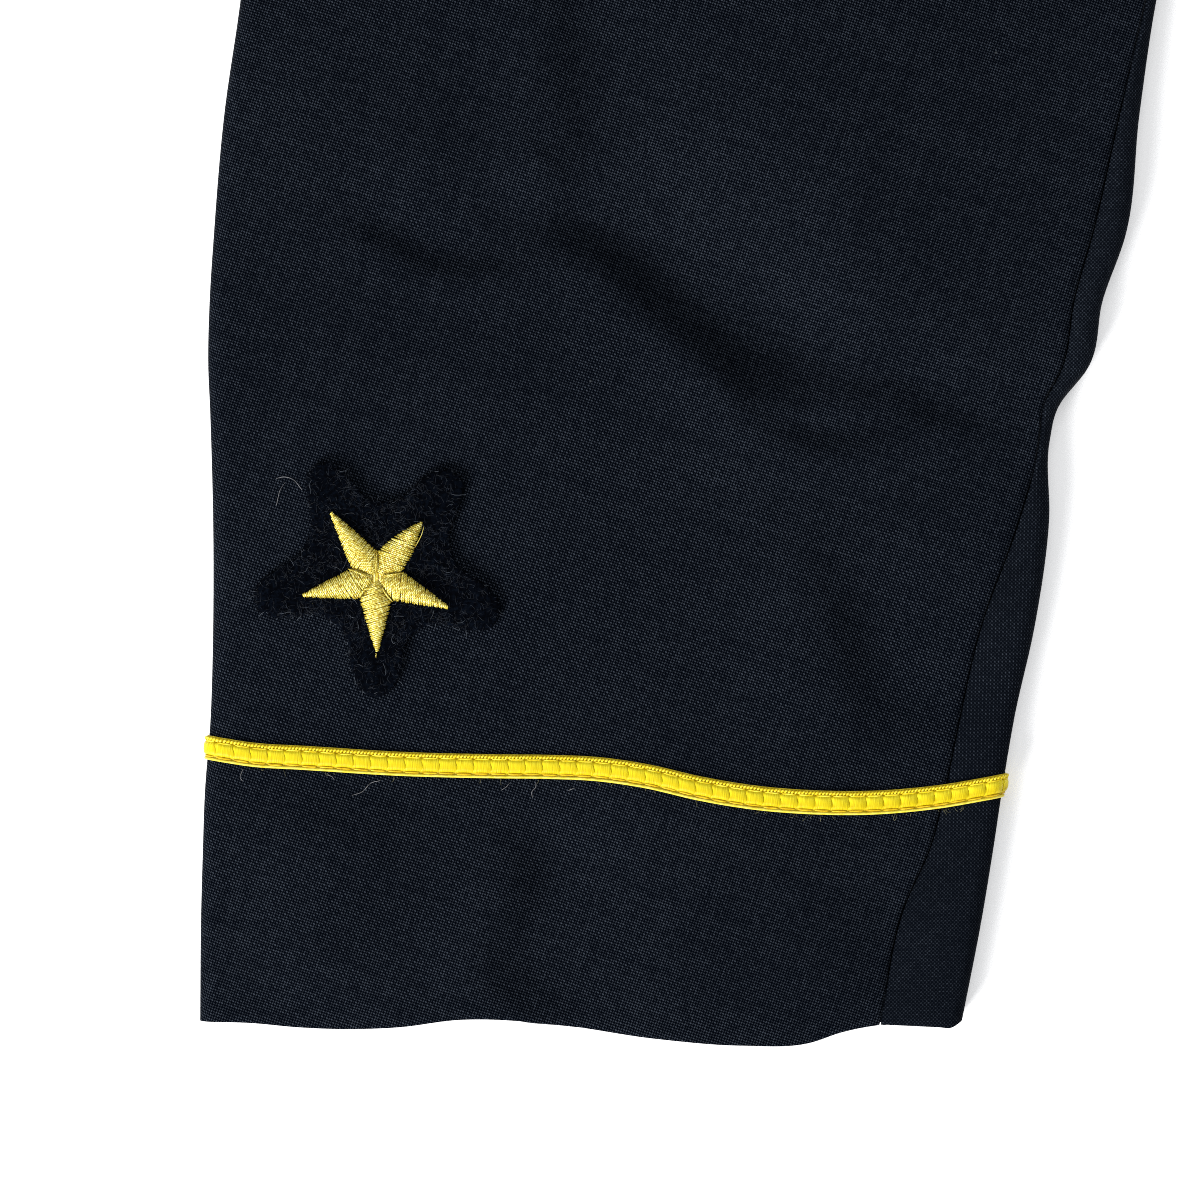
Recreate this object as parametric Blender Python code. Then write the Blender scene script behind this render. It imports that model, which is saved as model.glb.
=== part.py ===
"""A mess dress jacket laid flat on its back, sleeves at its sides, front up.

All sizes are in millimetres until a mesh is made. Both halves of the jacket are worked out at +X, with y = 0 at
the hem of the side seam, and the wearer's right half is mirrored. The last step moves the jacket so that its
origin is at the middle of its box, on the surface it lies on.
"""

import math
from collections import namedtuple

import bmesh
import bpy
import numpy as np
from mathutils import Vector

MM = 0.001
GAP = 0.3  # between pieces at a seam
ARMHOLE_GAP = 0.9  # at the corners of the body's facets, which leaves the gap at their middles

# Walls
BACK_WALL = 1.6
LINING_WALL = 1.0
FRONT_WALL = 1.8
LAPEL_WALL = 1.8
SLEEVE_WALL = 2.2
BRAID_WALL = 0.9
FELT_WALL = 1.2

# Body outline
SIDE_HEM = (232.0, 5.0)
UNDERARM = (257.0, 215.0)
SHOULDER_TIP = (225.0, 400.0)
SIDE_NECK = (75.0, 445.0)
NECK_BACK_Y = 430.0
ARMHOLE_BOW = 36.0
SIDE_SEAM = [SIDE_HEM, (233.5, 60.0), (239.0, 120.0), (249.0, 178.0), UNDERARM]
BACK_HEM = [(0.0, -52.0), (22.0, -45.0), (75.0, -25.0), (150.0, -5.0), SIDE_HEM]
FRONT_HEM = [(50.0, -37.0), (80.0, -31.0), (135.0, -17.0), (190.0, -4.0), SIDE_HEM]
FRONT_EDGE = [(50.0, -37.0), (30.0, -14.0), (16.0, 10.0), (11.0, 35.0), (11.0, 65.0), (12.5, 95.0)]
FRONT_NECK = [(69.8, 398.0), (72.6, 412.0), (74.4, 427.0), (76.0, 440.0), (77.0, 444.4)]

# Fronts: how far they rise off the back and its lining
SIDE_TUCK = (4.0, 24.0)  # the front comes down to the back over this distance from its seams
CHEST = dict(x=140.0, y=235.0, wide=60.0, long=110.0, rise=2.2)

# Lapels and collar
BREAK_POINT = (10.0, 95.0)
GORGE_TOP = (66.0, 398.0)
NOTCH = (108.0, 333.0)
ROLL_RADIUS = 2.6
TIGHT_ROLL = 1.35
LAPEL_CLEAR = 0.6  # under the lapel, which lies on the curved front
LAPEL_KINK = 0.63  # where along its rows the gorge ends
ROLL_FACETS = 5

# Sleeve
HINDARM_INSET = 40.0  # the hindarm seam, under the sleeve, from its outer edge
CROWN_POWER = 3.0
HEM_FADE = 32.0
BRAID_WIDTH = 4.4
SEAM_HALF = 0.22  # each side of the forearm and hindarm seams
LIFT_FLAT = 8.0  # the underside is raised this far either side of the braid
LIFT_END = 22.0
STAR_AT = (459.2, -122.9)
STITCHED_AT = (459.4, -125.2)

BUTTON_RADIUS = 8.9
BUTTON_RIM = 1.3
BUTTON_HEIGHT = 5.2
BUTTON_SIDES = 16
BUTTONS_AT = [(48.0, 50.0), (66.0, 102.0), (92.0, 156.0)]

COLOURS = {  # base colour, roughness, metallic
    "cloth": ((0.009, 0.011, 0.016), 0.85, 0.0),
    "lining": ((0.012, 0.013, 0.018), 0.35, 0.0),
    "felt": ((0.006, 0.007, 0.013), 0.95, 0.0),
    "braid": ((0.78, 0.60, 0.03), 0.5, 0.0),
    "gold_thread": ((0.72, 0.45, 0.08), 0.4, 0.6),
    "brass": ((0.80, 0.58, 0.22), 0.3, 1.0),
}

# The sleeve's rows from cuff to armhole: where its two edges lie, how far the row bows in to the body, its height
# at the edges and along its middle, and how far the forearm seam is from the inner edge.
Station = namedtuple("Station", "up outer_x outer_y inner_x inner_y bow edge crown fore")
STATIONS = [
    Station(0.0, 490.9, -203.0, 356.0, -203.0, 0.0, 6.2, 7.4, 14.7),
    Station(20.0, 490.7, -183.0, 352.1, -183.0, 0.0, 6.2, 7.5, 13.1),
    Station(40.0, 490.0, -163.0, 349.0, -163.0, 0.0, 6.2, 7.6, 10.3),
    Station(53.0, 489.0, -150.0, 346.8, -150.0, 0.0, 6.2, 7.6, 9.8),
    Station(69.0, 488.6, -134.0, 343.2, -134.0, 0.0, 6.2, 7.6, 9.7),
    Station(88.0, 488.6, -115.0, 340.6, -115.0, 0.0, 6.2, 7.6, 5.5),
    Station(102.0, 488.95, -101.0, 340.5, -101.0, 0.0, 6.2, 7.6, 1.9),
    Station(108.0, 489.15, -95.0, 339.0, -95.0, 0.0, 6.3, 7.7, 2.8),
    Station(115.0, 489.45, -88.0, 333.7, -88.0, 0.0, 6.4, 7.8, 4.8),
    Station(127.0, 489.2, -76.0, 331.1, -76.0, 0.0, 6.4, 7.8, 5.3),
    Station(138.0, 488.5, -65.0, 327.2, -65.0, 0.0, 6.4, 7.8, 6.1),
    Station(160.0, 486.6, -43.0, 324.6, -43.0, 0.0, 6.4, 7.8, 3.7),
    Station(179.6, 483.8, -23.4, 321.7, -23.4, 0.0, 6.4, 7.8, 1.9),
    Station(232.0, 479.0, 32.0, 307.0, 27.0, 0.0, 6.4, 7.8, 6.0),
    Station(295.0, 469.5, 96.0, 291.0, 88.0, 0.0, 6.4, 7.8, 9.0),
    Station(358.0, 456.5, 161.0, 274.5, 149.0, 0.0, 6.4, 8.0, 12.0),
    Station(412.0, 440.5, 220.0, 263.0, 192.0, 2.0, 6.4, 8.0, 15.0),
    Station(455.0, 421.5, 270.0, 258.6, 206.0, 5.0, 6.4, 8.0, 18.0),
    Station(495.0, 389.0, 319.0, 257.8, 210.0, 10.0, 6.3, 8.0, 21.0),
    Station(530.0, 345.0, 358.0, 257.4, 212.4, 17.0, 6.1, 7.8, 24.0),
    Station(560.0, 298.0, 383.5, 257.2, 213.8, 25.0, 5.9, 7.2, 26.0),
    Station(583.0, 254.0, 396.5, 257.1, 214.6, 32.0, 5.6, 6.4, 28.0),
    Station(600.0, SHOULDER_TIP[0], SHOULDER_TIP[1], UNDERARM[0], UNDERARM[1], ARMHOLE_BOW, 5.3, 5.6, 30.0),
]

# The hem's wave and the braid's line, across the sleeve from its outer edge (0) to its inner one (1)
HEM_WAVE = [(0.0, 0.0), (0.16, 1.1), (0.34, -0.2), (0.48, 0.4), (0.71, 4.2), (0.80, 4.0), (0.87, 0.8), (1.0, 0.6)]
BRAID_LINE = [(0.0, 47.9), (0.06, 46.6), (0.12, 46.1), (0.25, 45.0), (0.37, 44.6), (0.43, 44.5), (0.49, 44.1),
              (0.55, 42.9), (0.62, 40.7), (0.69, 39.1), (0.76, 38.3), (0.84, 38.2), (0.92, 39.2), (1.0, 41.2)]

# Folds on the top of a sleeve: the points it runs through, how far each side spreads, how deep it is. A negative
# depth is a ridge.
Fold = namedtuple("Fold", "route spread depth")
RIGHT_FOLDS = [
    Fold([(445, -57), (426, -62), (396, -88), (381, -90), (367, -89), (350, -103)], 4.6, 2.3),
    Fold([(436, -74), (411, -88), (398, -98)], 6.0, -0.6),
    Fold([(396, -93), (390, -103)], 4.0, 1.0),
    Fold([(388, -101), (374, -99), (362, -96), (350, -103)], 4.0, 1.1),
    Fold([(466, -59), (452, -68), (436, -70)], 5.0, 1.0),
    Fold([(427, -20), (425, -46), (423, -62)], 7.0, 0.9),
    Fold([(385, -125), (376, -136), (371, -150), (350, -157)], 6.0, 1.0),
    Fold([(441, -166), (436, -182), (446, -200)], 6.0, 0.9),
    Fold([(386, -60), (362, -56), (341, -59)], 6.0, 0.9),
    Fold([(312, 40), (350, 58), (398, 52), (430, 66)], 7.0, 1.7),
    Fold([(300, 84), (338, 92), (382, 82)], 7.0, 1.9),
    Fold([(288, 122), (330, 138), (372, 130)], 8.0, 1.6),
    Fold([(452, 60), (436, 128), (404, 196)], 12.0, 1.2),
    Fold([(322, 352), (346, 292), (354, 220)], 13.0, 1.4),
    Fold([(276, 352), (300, 290), (304, 232)], 11.0, 1.0),
]
LEFT_FOLDS = [
    Fold([(448, -70), (424, -84), (398, -86), (366, -72)], 6.0, 1.9),
    Fold([(470, -40), (442, -30), (404, -44)], 6.0, 1.2),
    Fold([(352, -128), (378, -140), (410, -136)], 7.0, 1.1),
    Fold([(430, -166), (440, -184), (432, -200)], 7.0, 0.9),
    Fold([(316, 20), (356, 44), (402, 40), (440, 26)], 8.0, 1.8),
    Fold([(300, 76), (342, 88), (388, 74)], 8.0, 1.9),
    Fold([(286, 126), (326, 130), (360, 146)], 8.0, 1.5),
    Fold([(456, 70), (428, 120), (410, 190)], 12.0, 1.2),
    Fold([(316, 354), (338, 300), (344, 226)], 13.0, 1.4),
    Fold([(270, 350), (290, 296), (298, 240)], 11.0, 1.0),
]

# The lapel's rows: how far up the roll line each one starts, and where on the outer edge it ends
LapelRow = namedtuple("LapelRow", "roll edge_x edge_y")
LAPEL_ROWS = [
    LapelRow(0.0, 18.5, 96.5),
    LapelRow(0.05, 27.0, 113.0),
    LapelRow(0.12, 39.5, 138.0),
    LapelRow(0.22, 57.0, 169.0),
    LapelRow(0.34, 77.0, 203.0),
    LapelRow(0.46, 95.0, 234.0),
    LapelRow(0.58, 111.0, 263.0),
    LapelRow(0.70, 125.0, 290.0),
    LapelRow(0.81, 136.0, 313.0),
    LapelRow(0.91, 144.0, 333.0),
    LapelRow(1.0, 150.0, 350.0),
]

# The collar's sections from the gorge to the centre back: neck seam, roll and the edge of the fall
CollarRow = namedtuple("CollarRow", "seam_x seam_y seam_z roll_x roll_y top edge_x edge_y edge_z")
COLLAR_ROWS = [
    CollarRow(68.6, 396.0, 4.1, 66.7, 398.8, 9.3, 109.0, 333.6, 7.4),
    CollarRow(71.0, 411.2, 4.1, 68.3, 413.0, 10.0, 128.0, 372.0, 7.6),
    CollarRow(72.5, 426.4, 4.2, 69.4, 428.0, 12.0, 127.0, 402.0, 7.4),
    CollarRow(73.4, 438.5, 4.2, 70.0, 440.0, 15.0, 115.0, 432.0, 6.8),
    CollarRow(70.0, 444.4, 3.6, 66.5, 449.5, 18.5, 97.0, 456.0, 3.6),
    CollarRow(52.0, 438.6, 3.0, 54.5, 452.0, 20.6, 68.0, 468.5, 1.5),
    CollarRow(26.0, 433.0, 2.9, 28.0, 448.5, 21.7, 34.0, 469.5, 1.2),
    CollarRow(0.0, 431.2, 2.9, 0.0, 447.0, 22.0, 0.0, 470.0, 1.2),
]

# Arms of the two stars: the way each points, in degrees, and its length from the middle; for the felt also half
# the arm's width and how far out the notch after it stands
FELT_ARMS = [(57.5, 20.8, 3.5, 11.5), (131.3, 21.3, 3.8, 13.6), (203.5, 23.3, 4.0, 13.9), (270.6, 23.2, 4.0, 13.1),
             (343.1, 22.8, 3.7, 13.4)]
GOLD_ARMS = [(55.1, 14.1), (129.2, 12.6), (202.5, 13.8), (269.6, 13.1), (346.5, 13.4)]
FELT_TIP_POINTS = 5
FELT_CLEAR = 0.35
GOLD_NOTCH = 4.7
GOLD_EDGE = 0.5
GOLD_RIDGE = 1.5
GOLD_BELLY = 0.5  # the widest place of the raised ridge, along the arm


def ramp(low, high, value):
    """0 below low, 1 above high, and a smooth rise between them."""
    share = np.clip((value - low) / (high - low), 0.0, 1.0)
    return share * share * (3.0 - 2.0 * share)


def glide(stops, values, at):
    """The value at one place of a smooth curve through values given at stops."""
    stops = np.asarray(stops, float)
    values = np.asarray(values, float)
    at = float(np.clip(at, stops[0], stops[-1]))
    slopes = np.gradient(values, stops, axis=0)
    k = int(np.clip(np.searchsorted(stops, at, side="right") - 1, 0, len(stops) - 2))
    span = stops[k + 1] - stops[k]
    t = (at - stops[k]) / span
    start = (2 * t**3 - 3 * t**2 + 1) * values[k] + (t**3 - 2 * t**2 + t) * span * slopes[k]
    end = (3 * t**2 - 2 * t**3) * values[k + 1] + (t**3 - t**2) * span * slopes[k + 1]
    return start + end


def route(points):
    """A smooth curve through points, as a function of the share of its length."""
    points = np.asarray(points, float)
    steps = np.linalg.norm(np.diff(points, axis=0), axis=1)
    stops = np.concatenate([[0.0], np.cumsum(steps)]) / steps.sum()
    return lambda share: glide(stops, points, share)


def line(start, end):
    start = np.asarray(start, float)
    end = np.asarray(end, float)
    return lambda share: start + (end - start) * share


def joined(first, second, middle=0.5):
    """Two curves, one after the other, which meet at the share middle."""
    def curve(share):
        if share <= middle:
            return first(share / middle)
        return second((share - middle) / (1.0 - middle))
    return curve


def flipped(curve):
    """The curve on the other half of the jacket."""
    return lambda share: curve(share) * (-1.0, 1.0)


def patch(bottom, top, left, right, columns, rows):
    """A grid of plan points between four edge curves, from bottom to top."""
    grid = np.zeros((rows + 1, columns + 1, 2))
    corners = (bottom(0.0), bottom(1.0), top(0.0), top(1.0))
    for j in range(rows + 1):
        v = j / rows
        for i in range(columns + 1):
            u = i / columns
            across = (1 - u) * left(v) + u * right(v)
            along = (1 - v) * bottom(u) + v * top(u)
            low = (1 - u) * corners[0] + u * corners[1]
            high = (1 - u) * corners[2] + u * corners[3]
            grid[j, i] = across + along - (1 - v) * low - v * high
    return grid


def lifted(grid, height):
    """The grid of plan points with the height that height(x, y) gives each."""
    flat = [[(x, y, height(x, y)) for x, y in row] for row in grid]
    return np.array(flat)


# Meshes


def material(name):
    made = bpy.data.materials.get(name)
    if made:
        return made
    colour, roughness, metallic = COLOURS[name]
    made = bpy.data.materials.new(name)
    made.use_nodes = True
    shader = made.node_tree.nodes["Principled BSDF"]
    shader.inputs["Base Color"].default_value = (*colour, 1.0)
    shader.inputs["Roughness"].default_value = roughness
    shader.inputs["Metallic"].default_value = metallic
    made.diffuse_color = (*colour, 1.0)
    return made


def solid(name, points, faces, finish, mirror):
    """An object from points in millimetres, mirrored to -X if asked, with its faces turned outwards."""
    side = -1.0 if mirror else 1.0
    shape = bmesh.new()
    verts = [shape.verts.new((side * x * MM, y * MM, z * MM)) for x, y, z in points]
    for face in faces:
        shape.faces.new([verts[k] for k in face])
    bmesh.ops.recalc_face_normals(shape, faces=shape.faces)
    mesh = bpy.data.meshes.new(name)
    shape.to_mesh(mesh)
    shape.free()
    mesh.materials.append(material(finish))
    mesh.shade_smooth()
    mesh.set_sharp_from_angle(angle=math.radians(50))
    piece = bpy.data.objects.new(name, mesh)
    bpy.context.scene.collection.objects.link(piece)
    return piece


def wall(name, outer, inner, finish, mirror=False, ring=False):
    """A wall between two grids of the same size. A ring closes on itself from its last column to its first."""
    rows, columns = outer.shape[:2]
    count = rows * columns

    def at(j, i, side):
        return side * count + j * columns + i % columns

    faces = []
    last = columns if ring else columns - 1
    for side in (0, 1):
        for j in range(rows - 1):
            for i in range(last):
                faces.append((at(j, i, side), at(j, i + 1, side), at(j + 1, i + 1, side), at(j + 1, i, side)))
    for j in (0, rows - 1):
        for i in range(last):
            faces.append((at(j, i, 0), at(j, i + 1, 0), at(j, i + 1, 1), at(j, i, 1)))
    if not ring:
        for i in (0, columns - 1):
            for j in range(rows - 1):
                faces.append((at(j, i, 0), at(j + 1, i, 0), at(j + 1, i, 1), at(j, i, 1)))
    points = np.concatenate([outer.reshape(-1, 3), inner.reshape(-1, 3)])
    return solid(name, points, faces, finish, mirror)


def panel(name, grid, under, thick, finish, mirror=False):
    """A wall of cloth whose underside is at the height under(x, y)."""
    inner = lifted(grid, under)
    outer = inner + (0.0, 0.0, thick)
    return wall(name, outer, inner, finish, mirror)


def thicken(name, middle, thick, finish, mirror=False):
    """A wall of cloth either side of a grid of points in space."""
    along = np.gradient(middle, axis=0)
    across = np.gradient(middle, axis=1)
    normal = np.cross(across, along)
    normal /= np.linalg.norm(normal, axis=2, keepdims=True)
    return wall(name, middle + normal * thick / 2, middle - normal * thick / 2, finish, mirror)


# Body


def armhole(share):
    """The seam between body and sleeve, from the underarm to the shoulder tip."""
    start = np.array(UNDERARM)
    end = np.array(SHOULDER_TIP)
    chord = end - start
    inward = np.array((-chord[1], chord[0])) / np.linalg.norm(chord)
    return start + chord * share + inward * ARMHOLE_BOW * 4 * share * (1 - share)


def body_side(share):
    """Side seam and armhole, clear of the sleeve by the seam's gap."""
    seam = joined(route(SIDE_SEAM), armhole)
    return seam(share) - (ARMHOLE_GAP, 0.0)


def shoulder_y(x):
    slope = (SHOULDER_TIP[1] - SIDE_NECK[1]) / (SHOULDER_TIP[0] - SIDE_NECK[0])
    return SIDE_NECK[1] + slope * (abs(x) - SIDE_NECK[0])


SIDE_SAMPLES = np.array([body_side(share) for share in np.linspace(0.0, 1.0, 41)])


def seam_distance(x, y):
    """Roughly how far a place is from the side seam, armhole or shoulder."""
    side_x = np.interp(y, SIDE_SAMPLES[:, 1], SIDE_SAMPLES[:, 0])
    return min(side_x - abs(x), shoulder_y(x) - y)


def front_under(x, y):
    """The underside of a front: on the back at its seams, on the lining further in, and full over the chest."""
    inside = seam_distance(x, y)
    lining = (LINING_WALL + 1.5 * GAP) * ramp(*SIDE_TUCK, inside)
    across = ((abs(x) - CHEST["x"]) / CHEST["wide"]) ** 2
    along = ((y - CHEST["y"]) / CHEST["long"]) ** 2
    chest = CHEST["rise"] * math.exp(-across - along) * ramp(0.0, 60.0, inside)
    return BACK_WALL + GAP + lining + chest


def front_top(x, y):
    return front_under(x, y) + FRONT_WALL


def neck_arc(share):
    x = SIDE_NECK[0] * (2 * share - 1)
    y = NECK_BACK_Y + (SIDE_NECK[1] - NECK_BACK_Y) * (x / SIDE_NECK[0]) ** 2
    return np.array((x, y))


def back_top(share):
    """Left shoulder seam, neck and right shoulder seam, a third of the columns each."""
    tip = np.array(SHOULDER_TIP) - (ARMHOLE_GAP, 0.0)
    if share < 1 / 3:
        return line(tip * (-1.0, 1.0), (-SIDE_NECK[0], SIDE_NECK[1]))(3 * share)
    if share <= 2 / 3:
        return neck_arc(3 * share - 1)
    return line(SIDE_NECK, tip)(3 * share - 2)


def back_hem(share):
    half = route(BACK_HEM)(abs(2 * share - 1))
    side = 1.0 if share >= 0.5 else -1.0
    return half * (side, 1.0) - (side * ARMHOLE_GAP * abs(2 * share - 1), 0.0)


def make_back():
    grid = patch(back_hem, back_top, flipped(body_side), body_side, columns=12, rows=16)
    panel("back", grid, lambda x, y: 0.0, BACK_WALL, "cloth")


def make_back_lining():
    """The lining of the back, short of the seams, with its neck edge up to the collar."""
    inset = 34.0
    hem_inset = 14.0
    top_points = [(190.0, 374.0), (150.0, 387.0), (110.0, 399.0), (74.0, 408.0), (58.0, 433.5), (0.0, 428.5)]

    def top(share):
        stops = np.linspace(0.0, 1.0, len(top_points))
        x, y = (np.interp(1 - abs(2 * share - 1), stops, column) for column in zip(*top_points))
        return np.array((x if share >= 0.5 else -x, y))

    def side(share):
        low = back_hem(1.0) + (-inset, hem_inset)
        high = np.array(top_points[0])
        y = low[1] + (high[1] - low[1]) * share
        edge = np.interp(y, SIDE_SAMPLES[:, 1], SIDE_SAMPLES[:, 0]) - inset
        return np.array((edge + (low[0] - edge) * (1 - share) ** 4 + (high[0] - edge) * share**4, y))

    def hem(share):
        reach = (SIDE_HEM[0] - inset) / SIDE_HEM[0]
        return back_hem(share) * (reach, 1.0) + (0.0, hem_inset)

    def side_fit(share):
        """The side curve with its ends on the corners of the hem and the top."""
        low = hem(1.0) - side(0.0)
        high = top(1.0) - side(1.0)
        return side(share) + low * (1 - share) + high * share

    grid = patch(hem, top, flipped(side_fit), side_fit, columns=10, rows=10)
    panel("back_lining", grid, lambda x, y: BACK_WALL + GAP, LINING_WALL, "lining")


def roll_line(share):
    return line(BREAK_POINT, GORGE_TOP)(share)


def front_inner(share):
    """The front edge, the line under the lapel's roll, and the neck seam under the collar."""
    under_roll = roll_line(0.12) + (ROLL_RADIUS + 1.2, 0.0)
    edge = joined(route(FRONT_EDGE), line(FRONT_EDGE[-1], under_roll), 0.8)
    upper = joined(line(under_roll, FRONT_NECK[0]), route(FRONT_NECK), 0.82)
    return joined(edge, upper, 0.45)(share)


def make_front(side, mirror):
    shoulder = line(FRONT_NECK[-1], np.array(SHOULDER_TIP) - (ARMHOLE_GAP, 0.0))
    hem = route(FRONT_HEM)

    def hem_fit(share):
        return hem(share) - (ARMHOLE_GAP * share, 0.0)

    grid = patch(hem_fit, shoulder, front_inner, body_side, columns=11, rows=16)
    panel(f"front_{side}", grid, front_under, FRONT_WALL, "cloth", mirror)


# Lapels and collar


def rolled_row(seam, roll, toward, top, radius, lying):
    """One section of a lapel or collar: up from its seam, over its roll and out along the points it lies on."""
    centre_out = radius
    centre_z = top - radius
    reach = lying[-1]
    seam_out = float(np.dot(np.array(seam[:2]) - roll, toward))
    out = float(np.dot(np.array(reach[:2]) - roll, toward))
    seam_vector = np.array((seam_out - centre_out, seam[2] - centre_z))
    edge_vector = np.array((out - centre_out, reach[2] - centre_z))
    start = math.atan2(seam_vector[1], seam_vector[0]) % math.tau
    start -= math.acos(min(1.0, radius / np.linalg.norm(seam_vector)))
    end = math.atan2(edge_vector[1], edge_vector[0])
    end += math.acos(min(1.0, radius / np.linalg.norm(edge_vector)))
    points = [np.array(seam)]
    for k in range(ROLL_FACETS + 1):
        turn = start + (end - start) * k / ROLL_FACETS
        place = roll + toward * (centre_out + radius * math.cos(turn))
        points.append(np.array((place[0], place[1], centre_z + radius * math.sin(turn))))
    points.extend(np.array(place) for place in lying)
    return points


def make_lapel(side, mirror):
    middle = FRONT_WALL / 2 + BACK_WALL + LINING_WALL + 2.5 * GAP
    lie = LAPEL_CLEAR + LAPEL_WALL / 2
    push = np.array(NOTCH) - line(GORGE_TOP, LAPEL_ROWS[-1][1:])(LAPEL_KINK)
    stops = [0.14, 0.30, 0.47, LAPEL_KINK, 0.82, 1.0]
    rows = []
    for row in LAPEL_ROWS:
        roll = roll_line(row.roll)
        edge = np.array((row.edge_x, row.edge_y))
        bend = push * ramp(0.3, 1.0, row.roll)
        kink = roll + (edge - roll) * LAPEL_KINK + bend
        toward = (kink - roll) / np.linalg.norm(kink - roll)
        radius = TIGHT_ROLL + (ROLL_RADIUS - TIGHT_ROLL) * float(ramp(0.0, 0.2, row.roll))
        seam = roll + toward * (radius + 0.4)
        top = middle + 2 * radius
        lying = []
        for stop in stops:
            if stop <= LAPEL_KINK:
                place = roll + (kink - roll) * stop / LAPEL_KINK
            else:
                place = kink + (edge - kink) * (stop - LAPEL_KINK) / (1 - LAPEL_KINK)
            fall = top + (front_top(*edge) + lie - top) * stop
            lying.append((place[0], place[1], max(fall, front_top(*place) + lie)))
        rows.append(rolled_row((seam[0], seam[1], middle), roll, toward, top, radius, lying))
    thicken(f"lapel_{side}", np.array(rows), LAPEL_WALL, "cloth", mirror)


def make_collar():
    shares = [0.25, 0.5, 0.75, 1.0]
    half = []
    stops = np.arange(len(COLLAR_ROWS))
    table = np.array(COLLAR_ROWS)
    for at in np.linspace(0.0, len(COLLAR_ROWS) - 1, 15):
        row = CollarRow(*glide(stops, table, at))
        roll = np.array((row.roll_x, row.roll_y))
        edge = np.array((row.edge_x, row.edge_y))
        toward = (edge - roll) / np.linalg.norm(edge - roll)
        lying = []
        for share in shares:
            place = roll + (edge - roll) * share
            lying.append((place[0], place[1], row.top + (row.edge_z - row.top) * share))
        half.append(rolled_row((row.seam_x, row.seam_y, row.seam_z), roll, toward, row.top, ROLL_RADIUS, lying))
    half = np.array(half)
    other = half[-2::-1] * (-1.0, 1.0, 1.0)
    thicken("collar", np.concatenate([half, other]), LAPEL_WALL, "cloth")


# Sleeves


def station(up):
    table = np.array(STATIONS)
    return Station(*glide(table[:, 0], table, up))


def braid_up(across):
    stops, values = zip(*BRAID_LINE)
    return float(glide(stops, values, across))


def braid_under(across):
    """Where the braid runs on the underside, straight from edge to edge."""
    return BRAID_LINE[0][1] + (BRAID_LINE[-1][1] - BRAID_LINE[0][1]) * across


def fold_depth(fold, x, y):
    """How far a fold lowers the cloth at a place: deepest on its route, fading at its ends."""
    spots = np.array(fold.route, float)
    steps = np.linalg.norm(np.diff(spots, axis=0), axis=1)
    total = steps.sum()
    nearest, along, done = 1e9, 0.0, 0.0
    for start, end, step in zip(spots, spots[1:], steps):
        share = np.clip(np.dot((x, y) - start, end - start) / step**2, 0.0, 1.0)
        away = math.hypot(*((x, y) - start - (end - start) * share))
        if away < nearest:
            nearest, along = away, (done + share * step) / total
        done += step
    ends = ramp(-0.12, 0.25, along) * ramp(-0.12, 0.25, 1.0 - along)
    near = math.exp(-((nearest / fold.spread) ** 2))
    shoulder = 0.25 * math.exp(-(((nearest - 2.0 * fold.spread) / fold.spread) ** 2))
    return fold.depth * ends * (near - shoulder)


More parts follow.
